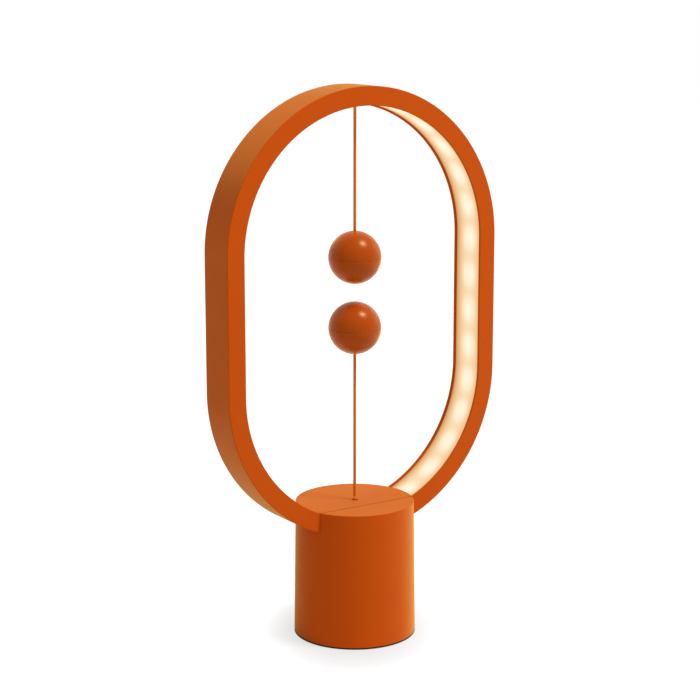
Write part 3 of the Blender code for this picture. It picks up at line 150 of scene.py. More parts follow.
def new_material(
    name: str, constants: dict[str, object]
) -> tuple[bpy.types.Material, bpy.types.NodeTree, bpy.types.Node]:
    """Starts a material: a Principled shader with all that is the same over the whole surface.

    Args:
        name: The material's name.
        constants: Value for each of the shader's own sockets that is set.

    Returns:
        The material, its node tree and its shader.
    """
    material = bpy.data.materials.new(name)
    material.use_nodes = True
    tree = material.node_tree
    shader = tree.nodes["Principled BSDF"]
    for socket, value in constants.items():
        shader.inputs[socket].default_value = value
    return material, tree, shader


def dress_surface(
    tree: bpy.types.NodeTree,
    share: Socket,
    shades: tuple[str, str],
    height: Socket,
    depth_mm: float,
    strength: float = 1.0,
) -> None:
    """Gives a surface a colour between two shades, and a relief.

    Args:
        tree: Node tree with a Principled shader.
        share: Share of the second shade, from nought to one.
        shades: The two shades, as sRGB hex values.
        height: Height of the relief, from nought to one.
        depth_mm: How far the relief stands proud where its height is one.
        strength: Share of the relief that shows.
    """
    shader = tree.nodes["Principled BSDF"]
    first, second = (linear(code) for code in shades)
    colour = add_node(tree, "ShaderNodeMix", {0: share}, {6: first, 7: second}, data_type="RGBA")
    stands = {"Strength": strength, "Distance": depth_mm * MM}
    relief = add_node(tree, "ShaderNodeBump", {"Height": height}, stands)
    tree.links.new(colour.outputs[2], shader.inputs["Base Color"])
    tree.links.new(relief.outputs["Normal"], shader.inputs["Normal"])


@dataclass(frozen=True)
class Finish:
    """A surface with two near shades, an uneven roughness and a fine relief.

    The shades and the roughness vary over patches of patch_mm, and the relief has grains of
    grain_mm that stand depth_mm proud. stretch draws both out along an axis, as brushing does.
    """

    name: str
    shade: str
    second_shade: str
    roughness: tuple[float, float]
    grain_mm: float
    depth_mm: float
    patch_mm: float = 12.0
    metallic: float = 0.0
    gloss: float = 0.5
    gloss_shade: str = "#FFFFFF"
    rim: float = 0.0
    rim_shade: str = "#FFFFFF"
    rim_roughness: float = 0.4
    stretch: tuple[float, float, float] = (1.0, 1.0, 1.0)
    detail: float = 3.0

    def material(self) -> bpy.types.Material:
        """Builds the node material: noise patches for colour and gloss, finer noise for relief.

        Returns:
            The material.
        """
        constants = {
            "Metallic": self.metallic,
            "Specular IOR Level": self.gloss,
            "Specular Tint": linear(self.gloss_shade),
            "Sheen Weight": self.rim,
            "Sheen Tint": linear(self.rim_shade),
            "Sheen Roughness": self.rim_roughness,
        }
        material, tree, shader = new_material(self.name, constants)
        place = add_node(tree, "ShaderNodeTexCoord").outputs["Object"]
        drawn = add_node(tree, "ShaderNodeMapping", {"Vector": place}, {"Scale": self.stretch})
        vector = {"Vector": drawn.outputs["Vector"]}
        patch = {"Scale": 1 / (self.patch_mm * MM), "Detail": self.detail, "Roughness": 0.6}
        patches = add_node(tree, "ShaderNodeTexNoise", vector, patch).outputs["Fac"]
        fine = {"Scale": 1 / (self.grain_mm * MM), "Detail": 2.0}
        grain = add_node(tree, "ShaderNodeTexNoise", vector, fine).outputs["Fac"]
        smooth, rough = self.roughness
        spread = {"From Min": 0.3, "From Max": 0.7, "To Min": smooth, "To Max": rough}
        gloss = add_node(tree, "ShaderNodeMapRange", {"Value": patches}, spread)
        tree.links.new(gloss.outputs["Result"], shader.inputs["Roughness"])
        dress_surface(tree, patches, (self.shade, self.second_shade), grain, self.depth_mm)
        return material


@dataclass(frozen=True)
class LitDiffuser:
    """Opal polycarbonate, extruded, lit warm white from behind by evenly spaced chips.

    The UV map holds the distance along the strip and the distance across it, in metres. Each chip
    shows as a soft pale spot, and the light falls off to amber at the strip's two edges.
    """

    name: str = "opal_polycarbonate_lit"
    led_pitch_mm: float = 27.0
    spot_length_mm: float = 9.0
    spot_width_mm: float = 7.5
    edge_mm: float = 14.2
    spot_offset_mm: float = -1.5
    level: float = 0.62
    edge_drop: float = 0.42
    edge_power: float = 2.6
    spot_gain: float = 0.38
    strength: float = 1.0
    grain_mm: float = 0.6
    depth_mm: float = 0.01
    unlit_shade: str = "#3A2A1C"
    glow_shades: tuple[tuple[float, str], ...] = (
        (0.0, "#8C4A1C"),
        (0.2, "#D29A5C"),
        (0.42, "#E6B982"),
        (0.6, "#F0D0A2"),
        (0.8, "#FAE8C8"),
        (1.0, "#FEF2DA"),
    )

    def material(self) -> bpy.types.Material:
        """Builds the glow: a bell curve round each chip on a level that drops at the edges.

        Returns:
            The material.
        """
        constants = {
            "Emission Strength": self.strength,
            "Base Color": linear(self.unlit_shade),
            "Roughness": 0.5,
            "Specular IOR Level": 0.25,
        }
        material, tree, shader = new_material(self.name, constants)
        uv = add_node(tree, "ShaderNodeUVMap", uv_map="UVMap").outputs["UV"]
        to_cell = {
            "Location": (0.0, -self.spot_offset_mm / self.spot_width_mm, 0.0),
            "Scale": (1 / (self.led_pitch_mm * MM), 1 / (self.spot_width_mm * MM), 1.0),
        }
        cell = add_node(tree, "ShaderNodeMapping", {"Vector": uv}, to_cell).outputs["Vector"]
        split = add_node(tree, "ShaderNodeSeparateXYZ", {"Vector": cell})
        across = split.outputs["Y"]
        share = add_node(tree, "ShaderNodeMath", {0: split.outputs["X"]}, operation="FRACT").outputs[0]
        pitches = self.led_pitch_mm / self.spot_length_mm
        along = add_node(
            tree, "ShaderNodeMath", {0: share}, {1: pitches, 2: -pitches / 2}, operation="MULTIPLY_ADD"
        ).outputs[0]
        place = add_node(tree, "ShaderNodeCombineXYZ", {"X": along, "Y": across}).outputs["Vector"]
        square = add_node(
            tree, "ShaderNodeVectorMath", {0: place, 1: place}, operation="DOT_PRODUCT"
        ).outputs["Value"]
        inverse = add_node(tree, "ShaderNodeMath", {0: square}, {1: -1.0}, operation="MULTIPLY").outputs[0]
        spot = add_node(tree, "ShaderNodeMath", {0: inverse}, operation="EXPONENT").outputs[0]
        reach = add_node(tree, "ShaderNodeMath", {0: across}, operation="ABSOLUTE").outputs[0]
        power = {1: self.edge_power}
        drop = add_node(tree, "ShaderNodeMath", {0: reach}, power, operation="POWER").outputs[0]
        edge_share = self.edge_drop * (self.spot_width_mm / self.edge_mm) ** self.edge_power
        level = add_node(
            tree, "ShaderNodeMath", {0: drop}, {1: -edge_share, 2: self.level}, operation="MULTIPLY_ADD"
        ).outputs[0]
        glow = add_node(
            tree, "ShaderNodeMath", {0: spot, 2: level}, {1: self.spot_gain}, operation="MULTIPLY_ADD"
        ).outputs[0]
        ramp = add_node(tree, "ShaderNodeValToRGB", {"Fac": glow})
        stops = ramp.color_ramp.elements
        stops.remove(stops[1])
        for number, (position, code) in enumerate(self.glow_shades):
            stop = stops[0] if number == 0 else stops.new(position)
            stop.position = position
            stop.color = linear(code)
        on_piece = {"Vector": add_node(tree, "ShaderNodeTexCoord").outputs["Object"]}
        grain = add_node(tree, "ShaderNodeTexNoise", on_piece, {"Scale": 1 / (self.grain_mm * MM)})
        height = {"Height": grain.outputs["Fac"]}
        relief = add_node(tree, "ShaderNodeBump", height, {"Distance": self.depth_mm * MM})
        tree.links.new(relief.outputs["Normal"], shader.inputs["Normal"])
        tree.links.new(ramp.outputs["Color"], shader.inputs["Emission Color"])
        return material


@dataclass(frozen=True)
class BraidedCord:
    """Polyester cord, braided from dyed yarns that catch the light one by one.

    The UV map runs round the cord and along it, and two sets of slanting bands cross on it.
    """

    name: str = "polyester_braid"
    shade: str = "#F08028"
    shadow_shade: str = "#C85A12"
    rim_shade: str = "#FFB050"
    yarns_round: float = 8.0
    yarn_mm: float = 1.3
    depth_mm: float = 0.08
    relief_strength: float = 0.6

    def material(self) -> bpy.types.Material:
        """Builds the braid: two crossed wave sets, with painted shade between the yarns.

        Returns:
            The material.
        """
        constants = {
            "Roughness": 0.75,
            "Specular IOR Level": 0.1,
            "Sheen Weight": 0.4,
            "Sheen Tint": linear(self.rim_shade),
            "Sheen Roughness": 0.5,
        }
        material, tree, _ = new_material(self.name, constants)
        uv = add_node(tree, "ShaderNodeUVMap", uv_map="UVMap").outputs["UV"]
        split = add_node(tree, "ShaderNodeSeparateXYZ", {"Vector": uv})
        phases = []
        for axis, yarns in (("X", self.yarns_round), ("Y", 1 / (self.yarn_mm * MM))):
            way, rate = {0: split.outputs[axis]}, {1: math.pi * yarns}
            phases.append(add_node(tree, "ShaderNodeMath", way, rate, operation="MULTIPLY").outputs[0])
        waves = []
        for sign in ("ADD", "SUBTRACT"):
            phase = add_node(tree, "ShaderNodeMath", dict(enumerate(phases)), operation=sign).outputs[0]
            wave = add_node(tree, "ShaderNodeMath", {0: phase}, operation="SINE").outputs[0]
            waves.append(add_node(tree, "ShaderNodeMath", {0: wave}, operation="ABSOLUTE").outputs[0])
        crossing = add_node(
            tree, "ShaderNodeMath", dict(enumerate(waves)), operation="MULTIPLY"
        ).outputs[0]
        # The shadow shade where the yarns dip between their crowns is painted shade.
        shades = (self.shadow_shade, self.shade)
        dress_surface(tree, crossing, shades, crossing, self.depth_mm, self.relief_strength)
        return material


@dataclass(frozen=True)
class RidgedRubber:
    """Thermoplastic rubber, moulded with fine rings that keep it from sliding on a table."""

    name: str = "moulded_rubber_ringed"
    shades: tuple[str, str] = ("#1B1A19", "#2B2A28")
    ring_mm: float = 1.6
    grain_mm: float = 0.4
    grain_share: float = 0.3
    depth_mm: float = 0.25

    def material(self) -> bpy.types.Material:
        """Builds the rings: a wave on the distance from the lamp's axis, with a fine grain.

        Returns:
            The material.
        """
        material, tree, _ = new_material(self.name, {"Roughness": 0.8})
        place = {"Vector": add_node(tree, "ShaderNodeTexCoord").outputs["Object"]}
        rings = add_node(
            tree,
            "ShaderNodeTexWave",
            place,
            {"Scale": math.tau / 20 / (self.ring_mm * MM), "Distortion": 0.0},
            wave_type="RINGS",
            rings_direction="Z",
        ).outputs["Fac"]
        fine = {"Scale": 1 / (self.grain_mm * MM), "Detail": 3.0}
        grain = add_node(tree, "ShaderNodeTexNoise", place, fine).outputs["Fac"]
        height = add_node(
            tree,
            "ShaderNodeMath",
            {0: grain, 2: rings},
            {1: self.grain_share},
            operation="MULTIPLY_ADD",
        ).outputs[0]
        dress_surface(tree, grain, self.shades, height, self.depth_mm)
        return material


@dataclass(frozen=True)
class SolderMask:
    """Glass-epoxy board under green solder mask, with copper tracks that show as paler lines."""

    name: str = "epoxy_board_green_mask"
    shades: tuple[str, str] = ("#0E5A2C", "#2E8A4A")
    track_mm: float = 1.2
    depth_mm: float = 0.04

    def material(self) -> bpy.types.Material:
        """Builds the tracks: the edges of square-metric cells, raised a little.

        Returns:
            The material.
        """
        material, tree, _ = new_material(self.name, {"Roughness": 0.35})
        place = add_node(tree, "ShaderNodeTexCoord").outputs["Object"]
        cells = add_node(
            tree,
            "ShaderNodeTexVoronoi",
            {"Vector": place},
            {"Scale": 1 / (4 * self.track_mm * MM), "Randomness": 0.55},
            distance="CHEBYCHEV",
            feature="F1",
        ).outputs["Distance"]
        edge = {"From Min": 0.38, "From Max": 0.44, "To Min": 0.0, "To Max": 1.0}
        track = add_node(tree, "ShaderNodeMapRange", {"Value": cells}, edge).outputs["Result"]
        dress_surface(tree, track, self.shades, track, self.depth_mm)
        return material


# Injection-moulded ABS under a satin two-part paint: an even colour with a faint orange peel and
# a broad, soft highlight along the edges.
ORANGE_PAINT = Finish(
    "abs_satin_orange_paint", "#C54D0C", "#C0490A", (0.52, 0.60), grain_mm=0.35, depth_mm=0.004,
    patch_mm=25.0, gloss=0.07, gloss_shade="#FFB060", rim=0.85, rim_shade="#FFD05C",
)
# Injection-moulded ABS of the balls under a semi-gloss paint, in which the key lamp shows as a
# soft spot and the edges glow warmer.
BALL_PAINT = Finish(
    "abs_semi_gloss_orange_paint", "#AC4205", "#A43E04", (0.25, 0.30), grain_mm=0.35, depth_mm=0.002,
    patch_mm=14.0, gloss=0.22, gloss_shade="#FFE89C", rim=1.0, rim_shade="#FFAC28", rim_roughness=0.36,
)
# Braided polyester cord where it is knotted: its yarns lie every way, so it has a coarse weave.
KNOTTED_CORD = Finish(
    "polyester_braid_knotted", "#DC6E20", "#B4500F", (0.70, 0.80), grain_mm=0.6, depth_mm=0.08,
    patch_mm=0.8, gloss=0.1, rim=0.4, rim_shade="#FFB050",
)
# Sintered magnet, nickel plated: a smooth grey-gold mirror with faint clouding.
NICKEL_PLATE = Finish(
    "nickel_plate", "#B9B4A8", "#ADA89C", (0.16, 0.26), grain_mm=0.5, depth_mm=0.001,
    patch_mm=4.0, metallic=1.0,
)
# Zinc-plated carbon steel of screws, rod and spring: bright, with drawn marks along its length.
ZINC_STEEL = Finish(
    "zinc_plated_steel", "#B6B8BA", "#A4A6A9", (0.25, 0.38), grain_mm=0.4, depth_mm=0.004,
    patch_mm=3.0, metallic=1.0, stretch=(1.0, 1.0, 0.12),
)
# Turned free-cutting brass: warm yellow with fine rings left by the tool.
TURNED_BRASS = Finish(
    "turned_brass", "#C9A65A", "#B8934A", (0.22, 0.34), grain_mm=0.35, depth_mm=0.004,
    patch_mm=3.0, metallic=1.0, stretch=(0.15, 0.15, 1.0),
)
# Sand-cast grey iron, unpainted: dark, dull, with a coarse grain from the mould.
CAST_IRON = Finish(
    "sand_cast_iron", "#4A4A4C", "#38383A", (0.55, 0.75), grain_mm=0.9, depth_mm=0.08,
    patch_mm=6.0, metallic=1.0,
)
# Moulded ABS of the inner pieces, left in the mould's fine spark-erosion texture.
INNER_ABS = Finish(
    "abs_spark_texture_black", "#26262A", "#1E1E21", (0.50, 0.62), grain_mm=0.25, depth_mm=0.012,
    patch_mm=10.0,
)
# Polyimide light strip with a laminated white cover layer, faintly glossy.
STRIP_COVER = Finish(
    "polyimide_white_cover", "#E6E2D6", "#DAD4C4", (0.35, 0.45), grain_mm=0.5, depth_mm=0.006,
    patch_mm=5.0,
)
# Extruded PVC sheath of the leads: grey, smooth, faintly streaked along its length.
PVC_SHEATH = Finish(
    "pvc_sheath_grey", "#B4B2AE", "#A6A39F", (0.42, 0.55), grain_mm=0.5, depth_mm=0.006,
    patch_mm=4.0, stretch=(1.0, 1.0, 0.3),
)
# Injection-moulded, glass-filled nylon of the inlet's tongue: black, satin, with a very fine grain.
TONGUE_PLASTIC = Finish(
    "nylon_glass_filled_black", "#1C1C1E", "#141416", (0.40, 0.50), grain_mm=0.2, depth_mm=0.006,
    patch_mm=2.0,
)


def rounded(corners: list[tuple[float, float, float]], closed: bool, steps: int = 5) -> Points:
    """Rounds the corners of an outline.

    Each corner of radius r becomes an arc that meets both edges at r / tan(half the angle), with
    one more point on each edge just past it, which keeps the flats flat when shaded smooth.

    Args:
        corners: Outline points, each with its radius.
        closed: Whether the last point joins the first.
        steps: Segments in each arc.

    Returns:
        Points of the rounded outline.
    """
    places = np.array([c[:2] for c in corners], float)
    found: list[Points] = []
    for i, (_, _, radius) in enumerate(corners):
        at = places[i]
        if radius <= 0 or (not closed and i in (0, len(corners) - 1)):
            found.append(at[None])
            continue
        back = places[i - 1] - at
        ahead = places[(i + 1) % len(corners)] - at
        back /= np.linalg.norm(back)
        ahead /= np.linalg.norm(ahead)
        half = math.acos(float(np.clip(back @ ahead, -1, 1))) / 2
        run = radius / math.tan(half)
        middle = at + (back + ahead) / np.linalg.norm(back + ahead) * radius / math.sin(half)
        first = at + back * run - middle
        last = at + ahead * run - middle
        sweep = math.pi - 2 * half
        share = np.linspace(0, 1, steps + 1)[:, None]
        arc = (np.sin((1 - share) * sweep) * first + np.sin(share * sweep) * last) / math.sin(sweep)
        before, after = (at + way * run * PAST_ARC for way in (back, ahead))
        found.append(np.vstack([before, middle + arc, after]))
    return np.vstack(found)


def skin(
    name: str, points: Points, wrap_rows: bool, wrap_columns: bool, uv: Points | None = None
) -> bpy.types.Mesh:
    """Covers a grid of points with quads, closes what is open and welds its poles.

    Args:
        name: The mesh's name.
        points: Grid of points, rows by columns by three.
        wrap_rows: Whether the last row joins the first.
        wrap_columns: Whether the last column joins the first.
        uv: Grid of UV places for the points, with one more row or column where it wraps.

    Returns:
        The mesh, with its faces pointing out.
    """
    rows, columns = points.shape[:2]
    row = np.arange(rows if wrap_rows else rows - 1)[:, None]
    column = np.arange(columns if wrap_columns else columns - 1)[None]
    next_row, next_column = row + 1, column + 1
    corners = [(row, column), (row, next_column), (next_row, next_column), (next_row, column)]
    faces = np.stack([(r % rows) * columns + (c % columns) for r, c in corners], -1).reshape(-1, 4)
    mesh = bpy.data.meshes.new(name)
    mesh.vertices.add(rows * columns)
    mesh.vertices.foreach_set("co", points.reshape(-1).astype(np.float32))
    mesh.loops.add(faces.size)
    mesh.loops.foreach_set("vertex_index", faces.reshape(-1).astype(np.int32))
    mesh.polygons.add(len(faces))
    mesh.polygons.foreach_set("loop_start", np.arange(0, faces.size, 4, dtype=np.int32))
    if uv is not None:
        layer = mesh.uv_layers.new(name="UVMap")
        values = np.stack([uv[r, c] for r, c in corners], 2)
        layer.data.foreach_set("uv", values.reshape(-1).astype(np.float32))
    mesh.update(calc_edges=True)
    mesh.validate()
    tidy(mesh)
    return mesh


def tidy(mesh: bpy.types.Mesh, weld: float = 1e-6, sharp: float = math.radians(32)) -> None:
    """Welds a mesh, fills open ends, turns its faces out and shades it smooth between real edges.

    Args:
        mesh: The mesh.
        weld: Distance within which points are merged, in metres.
        sharp: Angle past which an edge stays sharp.
    """
    shape = bmesh.new()
    shape.from_mesh(mesh)
    bmesh.ops.remove_doubles(shape, verts=shape.verts, dist=weld)
    bmesh.ops.dissolve_degenerate(shape, edges=shape.edges, dist=weld / 10)
    open_edges = [edge for edge in shape.edges if edge.is_boundary]
    if open_edges:
        bmesh.ops.holes_fill(shape, edges=open_edges, sides=0)
    bmesh.ops.recalc_face_normals(shape, faces=shape.faces)
    shape.to_mesh(mesh)
    shape.free()
    mesh.shade_smooth()
    mesh.set_sharp_from_angle(angle=sharp)


def turned(name: str, profile: Points, steps: int, closed: bool) -> bpy.types.Mesh:
    """Turns a profile of (radius, height) about Z: x = r cos a, y = r sin a.

    Args:
        name: The mesh's name.
        profile: The profile's points.
        steps: Segments round.
        closed: Whether the profile joins up with itself.

    Returns:
        The turned mesh.
    """
    angle = np.linspace(0, math.tau, steps, endpoint=False)[:, None]
    radius, height = profile[None, :, 0], profile[None, :, 1]
    x, y = radius * np.cos(angle), radius * np.sin(angle)
    return skin(name, np.stack([x, y, np.broadcast_to(height, x.shape)], -1), True, closed)


def place_piece(name: str, mesh: bpy.types.Mesh, material: bpy.types.Material | None) -> bpy.types.Object:
    """Adds a mesh to the scene as an object at the origin.

    Args:
        name: The object's name.
        mesh: Its mesh.
        material: Its finish, or None for a cutter.

    Returns:
        The object.
    """
    piece = bpy.data.objects.new(name, mesh)
    bpy.context.scene.collection.objects.link(piece)
    if material is not None:
        mesh.materials.clear()
        mesh.materials.append(material)
    return piece


def cut(piece: bpy.types.Object, cutters: list[bpy.types.Mesh]) -> None:
    """Cuts meshes out of a piece, one after the other, and keeps only the result.

    Args:
        piece: The piece.
        cutters: Closed meshes that are taken away from it.
    """
    holders = []
    for number, mesh in enumerate(cutters):
        holder = place_piece(f"{piece.name}_cutter_{number}", mesh, None)
        modifier = piece.modifiers.new("cut", "BOOLEAN")
        modifier.operation = "DIFFERENCE"
        modifier.solver = "EXACT"
        modifier.object = holder
        holders.append(holder)
    bpy.context.view_layer.update()
    graph = bpy.context.evaluated_depsgraph_get()
    mesh = bpy.data.meshes.new_from_object(piece.evaluated_get(graph))
    piece.modifiers.clear()
    piece.data = mesh
    for holder in holders:
        bpy.data.objects.remove(holder)
    tidy(mesh, weld=2e-6)


def carried(name: str, outline: Points, axis: Axis, ends: tuple[float, float]) -> bpy.types.Mesh:
    """Carries a flat outline straight on: each of its points stands at both ends of the axis.

    Args:
        name: The mesh's name.
        outline: Points of the outline, in the two other coordinates.
        axis: The way that it is carried.
        ends: Where the mesh starts and stops on the axis.

    Returns:
        The closed mesh.
    """
    grid = np.stack([np.insert(outline, axis.value, end, axis=1) for end in ends])
    return skin(name, grid, False, True)


def block(name: str, low: tuple[float, float, float], high: tuple[float, float, float]) -> bpy.types.Mesh:
    """A plain box between two corners, for cutting.

    Args:
        name: The mesh's name.
        low: Lowest corner.
        high: Highest corner.

    Returns:
        The box mesh.
    """
    (left, front, under), (right, rear, over) = low, high
    outline = np.array([(left, front), (right, front), (right, rear), (left, rear)])
    return carried(name, outline, Axis.Z, (under, over))


@dataclass
class RingSizes:
    """Sizes of the stadium ring: the CAD model's, with thinner side walls and a deeper strip."""

    height: float = 0.4000
    width: float = 0.2264
    seat_depth: float = 0.0221
    base_height: float = 0.0991
    radial: float = 0.0136
    depth: float = 0.0320
    band: float = 0.0022
    side_wall: float = 0.0016
    edge: float = 0.0005
    lip_edge: float = 0.00025
    end_gap: float = 0.0240
    ledge_width: float = 0.0011
    ledge_thickness: float = 0.0012
    gap: float = 0.0003
    diffuser_recess: float = 0.0013
    diffuser_thickness: float = 0.0020
    strip_face: float = 0.0030
    cover_thickness: float = 0.0024
    diffuser_tail: float = 0.0030
    strip_back_edge: float = 0.0002
    strip_face_edge: float = 0.0003

    @property
    def radius(self) -> float:
        """Radius of the outer face of both arcs."""
        return self.width / 2

    @property
    def upper_z(self) -> float:
        """Height of the upper arc's centre."""
        return self.height - self.radius

    @property
    def lower_z(self) -> float:
        """Height of the lower arc's centre."""
        return self.base_height - self.seat_depth + self.radius

    @property
    def channel_half(self) -> float:
        """Half the clear width inside the channel."""
        return self.depth / 2 - self.side_wall

    @property
    def diffuser_face(self) -> float:
        """Distance of the diffuser's face inside the ring's outer face."""
        return self.radial - self.diffuser_recess

    def path(
        self, end_angle: float, arc_steps: int = 112, straight_steps: int = 16
    ) -> tuple[Points, Points, Points]:
        """Stations round the open loop of the ring's outer face, left end to right end.

        On the arcs a station at angle a from the top is at (R sin a, R cos a) from the centre, and
        on the sides it runs straight down. Its inward direction is the opposite of its radius.

        Args:
            end_angle: Angle from the ring's lowest point at which each end stops.
            arc_steps: Segments in each quarter turn.
            straight_steps: Segments in each straight side.

        Returns:
            Distance from the top along the light strip, place in (x, z), and inward direction.
        """
        quarter = math.pi / 2
        upper = np.linspace(0, quarter, arc_steps + 1)
        lower = np.linspace(quarter, math.pi - end_angle, arc_steps + 1)[1:]
        down = np.linspace(self.upper_z, self.lower_z, straight_steps + 1)[1:]
        angle = np.concatenate([upper, np.full(straight_steps, quarter), lower])
        heights = [np.full(arc_steps + 1, self.upper_z), down, np.full(arc_steps, self.lower_z)]
        centre = np.concatenate(heights)
        strip_radius = self.radius - self.strip_face
        distance = strip_radius * angle + (self.upper_z - centre)
        outward = np.stack([np.sin(angle), np.cos(angle)], -1)
        place = self.radius * outward + np.stack([np.zeros_like(centre), centre], -1)
        mirror = np.array([-1.0, 1.0])
        distance = np.concatenate([-distance[:0:-1], distance])
        place = np.concatenate([place[:0:-1] * mirror, place])
        inward = -np.concatenate([outward[:0:-1] * mirror, outward])
        return distance, place, inward

    def sweep(self, name: str, profile: Points, end_angle: float, with_uv: bool = False) -> bpy.types.Mesh:
        """Carries a closed (inward, across) profile along the ring's path.

        Each point is its station's place, moved inward by the profile's first value, with the
        second as its Y.

        Args:
            name: The mesh's name.
            profile: The profile's points.
            end_angle: Angle from the ring's lowest point at which each end stops.
            with_uv: Whether to lay a UV map of distance along and across, in metres.

        Returns:
            The swept mesh.
        """
        distance, place, inward = self.path(end_angle)
        flat = place[:, None] + inward[:, None] * profile[None, :, :1]
        across = np.broadcast_to(profile[None, :, 1], flat.shape[:2])
        grid = np.stack([flat[..., 0], across, flat[..., 1]], -1)
        uv = None
        if with_uv:
            wide = np.concatenate([profile[:, 1], profile[:1, 1]])
            along = np.broadcast_to(distance[:, None], (len(distance), len(wide)))
            uv = np.stack([along, np.broadcast_to(wide[None], along.shape)], -1)
        return skin(name, grid, False, True, uv)


def both_sides(half: list[tuple[float, float, float]]) -> list[tuple[float, float, float]]:
    """Completes a profile across the ring from its front half.

    Args:
        half: Corners of the half, each with its radius.

    Returns:
        The corners of the whole profile.
    """
    return half + [(inward, -across, radius) for inward, across, radius in reversed(half)]


@dataclass
class LitRing:
    """The painted channel of the ring and the glowing strip that closes it."""

    sizes: RingSizes
    paint: bpy.types.Material
    glow: bpy.types.Material
    string_hole: float = 0.00135
    hole_margin: float = 0.0020
    hole_steps: int = 32

    def channel(self) -> bpy.types.Object:
        """Makes the channel: its profile, with ledges for the strip, carried round the path.

        Returns:
            The channel.
        """
        s = self.sizes
        half_depth = s.depth / 2
        ledge_top = s.diffuser_face - s.diffuser_thickness - s.gap
        half = [
            (0.0, half_depth, s.edge),
            (s.radial, half_depth, s.edge),
            (s.radial, s.channel_half, s.lip_edge),
            (ledge_top, s.channel_half, 0.0),
            (ledge_top, s.channel_half - s.ledge_width, 0.0),
            (ledge_top - s.ledge_thickness, s.channel_half, 0.0),
            (s.band, s.channel_half, 0.0),
        ]
        profile = rounded(both_sides(half), closed=True)
        end_angle = math.asin(s.end_gap / 2 / s.radius)
        piece = place_piece("ring_channel", s.sweep("ring_channel", profile, end_angle), self.paint)
        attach(piece, Body.LAMP.value)
        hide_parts("ring_frame")
        return piece

    def strip(self) -> bpy.types.Object:
        """Makes the diffuser: a thin strip carried round the path, with the upper string's hole.

        Returns:
            The diffuser.
        """
        s = self.sizes
        back = s.diffuser_face - s.diffuser_thickness
        half_width = s.channel_half - s.gap
        half = [(back, half_width, s.strip_back_edge), (s.diffuser_face, half_width, s.strip_face_edge)]
        profile = rounded(both_sides(half), closed=True)
        tail_z = s.base_height - s.cover_thickness - s.diffuser_tail
        face_radius = s.radius - s.diffuser_face
        end_angle = math.acos((s.lower_z - tail_z) / face_radius)
        mesh = s.sweep("lit_diffuser", profile, end_angle, with_uv=True)
        piece = place_piece("lit_diffuser", mesh, self.glow)
        top = s.height - back + self.hole_margin
        bottom = s.height - s.diffuser_face - self.hole_margin
        hole = np.array([(0, top), (self.string_hole, top), (self.string_hole, bottom), (0, bottom)])
        cut(piece, [turned("string_hole", hole, self.hole_steps, False)])
        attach(piece, Body.LAMP.value)
        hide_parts("diffuser")
        return piece


@dataclass
class HalfBall:
    """Sizes of a ball's two half shells: the CAD model's, with a finer joint between them."""

    radius: float = 0.0190
    wall: float = 0.0024
    cad_joint: float = 0.0003
    joint: float = 0.0001
    seam: float = 0.0001
    step: float = 0.0012
    gap: float = 0.0003
    hole: float = 0.00135
    hole_lip: float = 0.00015
    lip_angle: float = 0.02
    boss_radius: float = 0.0050
    boss_depth: float = 0.0060
    magnet_radius: float = 0.0080
    magnet_height: float = 0.0060
    pocket_wall: float = 0.0014
    outer_steps: int = 40
    inner_steps: int = 12

    @property
    def inner(self) -> float:
        """Radius of the shell's inner face."""
        return self.radius - self.wall

    @property
    def seam_angle(self) -> float:
        """Angle above the seam's level at which the outer face ends."""
        return math.asin((self.seam + self.joint / 2) / self.radius)

    def arc(self, radius: float, start: float, end: float, steps: int) -> Points:
        """Points of an arc about the ball's centre, as (radius, height): r cos a, r sin a."""
        angle = np.linspace(start, end, steps + 1)
        return np.stack([radius * np.cos(angle), radius * np.sin(angle)], -1)

    def string_profile(self) -> Points:
        """The half with the string's hole: arcs down its outside and up its inside, then its boss.

        Returns:
            The closed profile.
        """
        lip = np.array([(self.hole, self.radius - self.hole_lip)])
        start = math.acos(self.hole / self.radius) - self.lip_angle
        outer = self.arc(self.radius, start, self.seam_angle, self.outer_steps)
        level = self.joint / 2
        step = self.radius - self.step
        edge = np.array([(self.radius - self.seam, level), (step, level), (step, self.step)])
        start, end = math.asin(self.step / self.inner), math.acos(self.boss_radius / self.inner)
        inside = self.arc(self.inner, start, end, self.inner_steps)
        boss_z = self.radius - self.boss_depth
        boss = np.array([(self.boss_radius, boss_z), (self.hole, boss_z)])
        return np.vstack([lip, outer, edge, inside, boss])

    def magnet_profile(self) -> Points:
        """The half with the magnet's pocket: arcs down its outside and up its inside, then a cup.

        Returns:
            The open profile, from pole to pocket floor.
        """
        outer = self.arc(self.radius, math.pi / 2, self.seam_angle, self.outer_steps)
        outer[0, 0] = 0.0
        level = self.joint / 2
        step = self.radius - self.step - self.gap
        tongue = 2 * self.gap - self.step
        edge = np.array(
            [(self.radius - self.seam, level), (step, level), (step, tongue), (self.inner, tongue)]
        )
        pocket = self.magnet_radius + self.gap
        wall = pocket + self.pocket_wall
        inside = self.arc(self.inner, 0, math.acos(wall / self.inner), self.inner_steps)
        seat = math.sqrt(self.inner**2 - pocket**2)
        lip = seat - self.magnet_height - self.gap
        socket = np.array([(wall, lip), (pocket, lip), (pocket, seat), (0, seat)])
        return np.vstack([outer, edge, inside, socket])


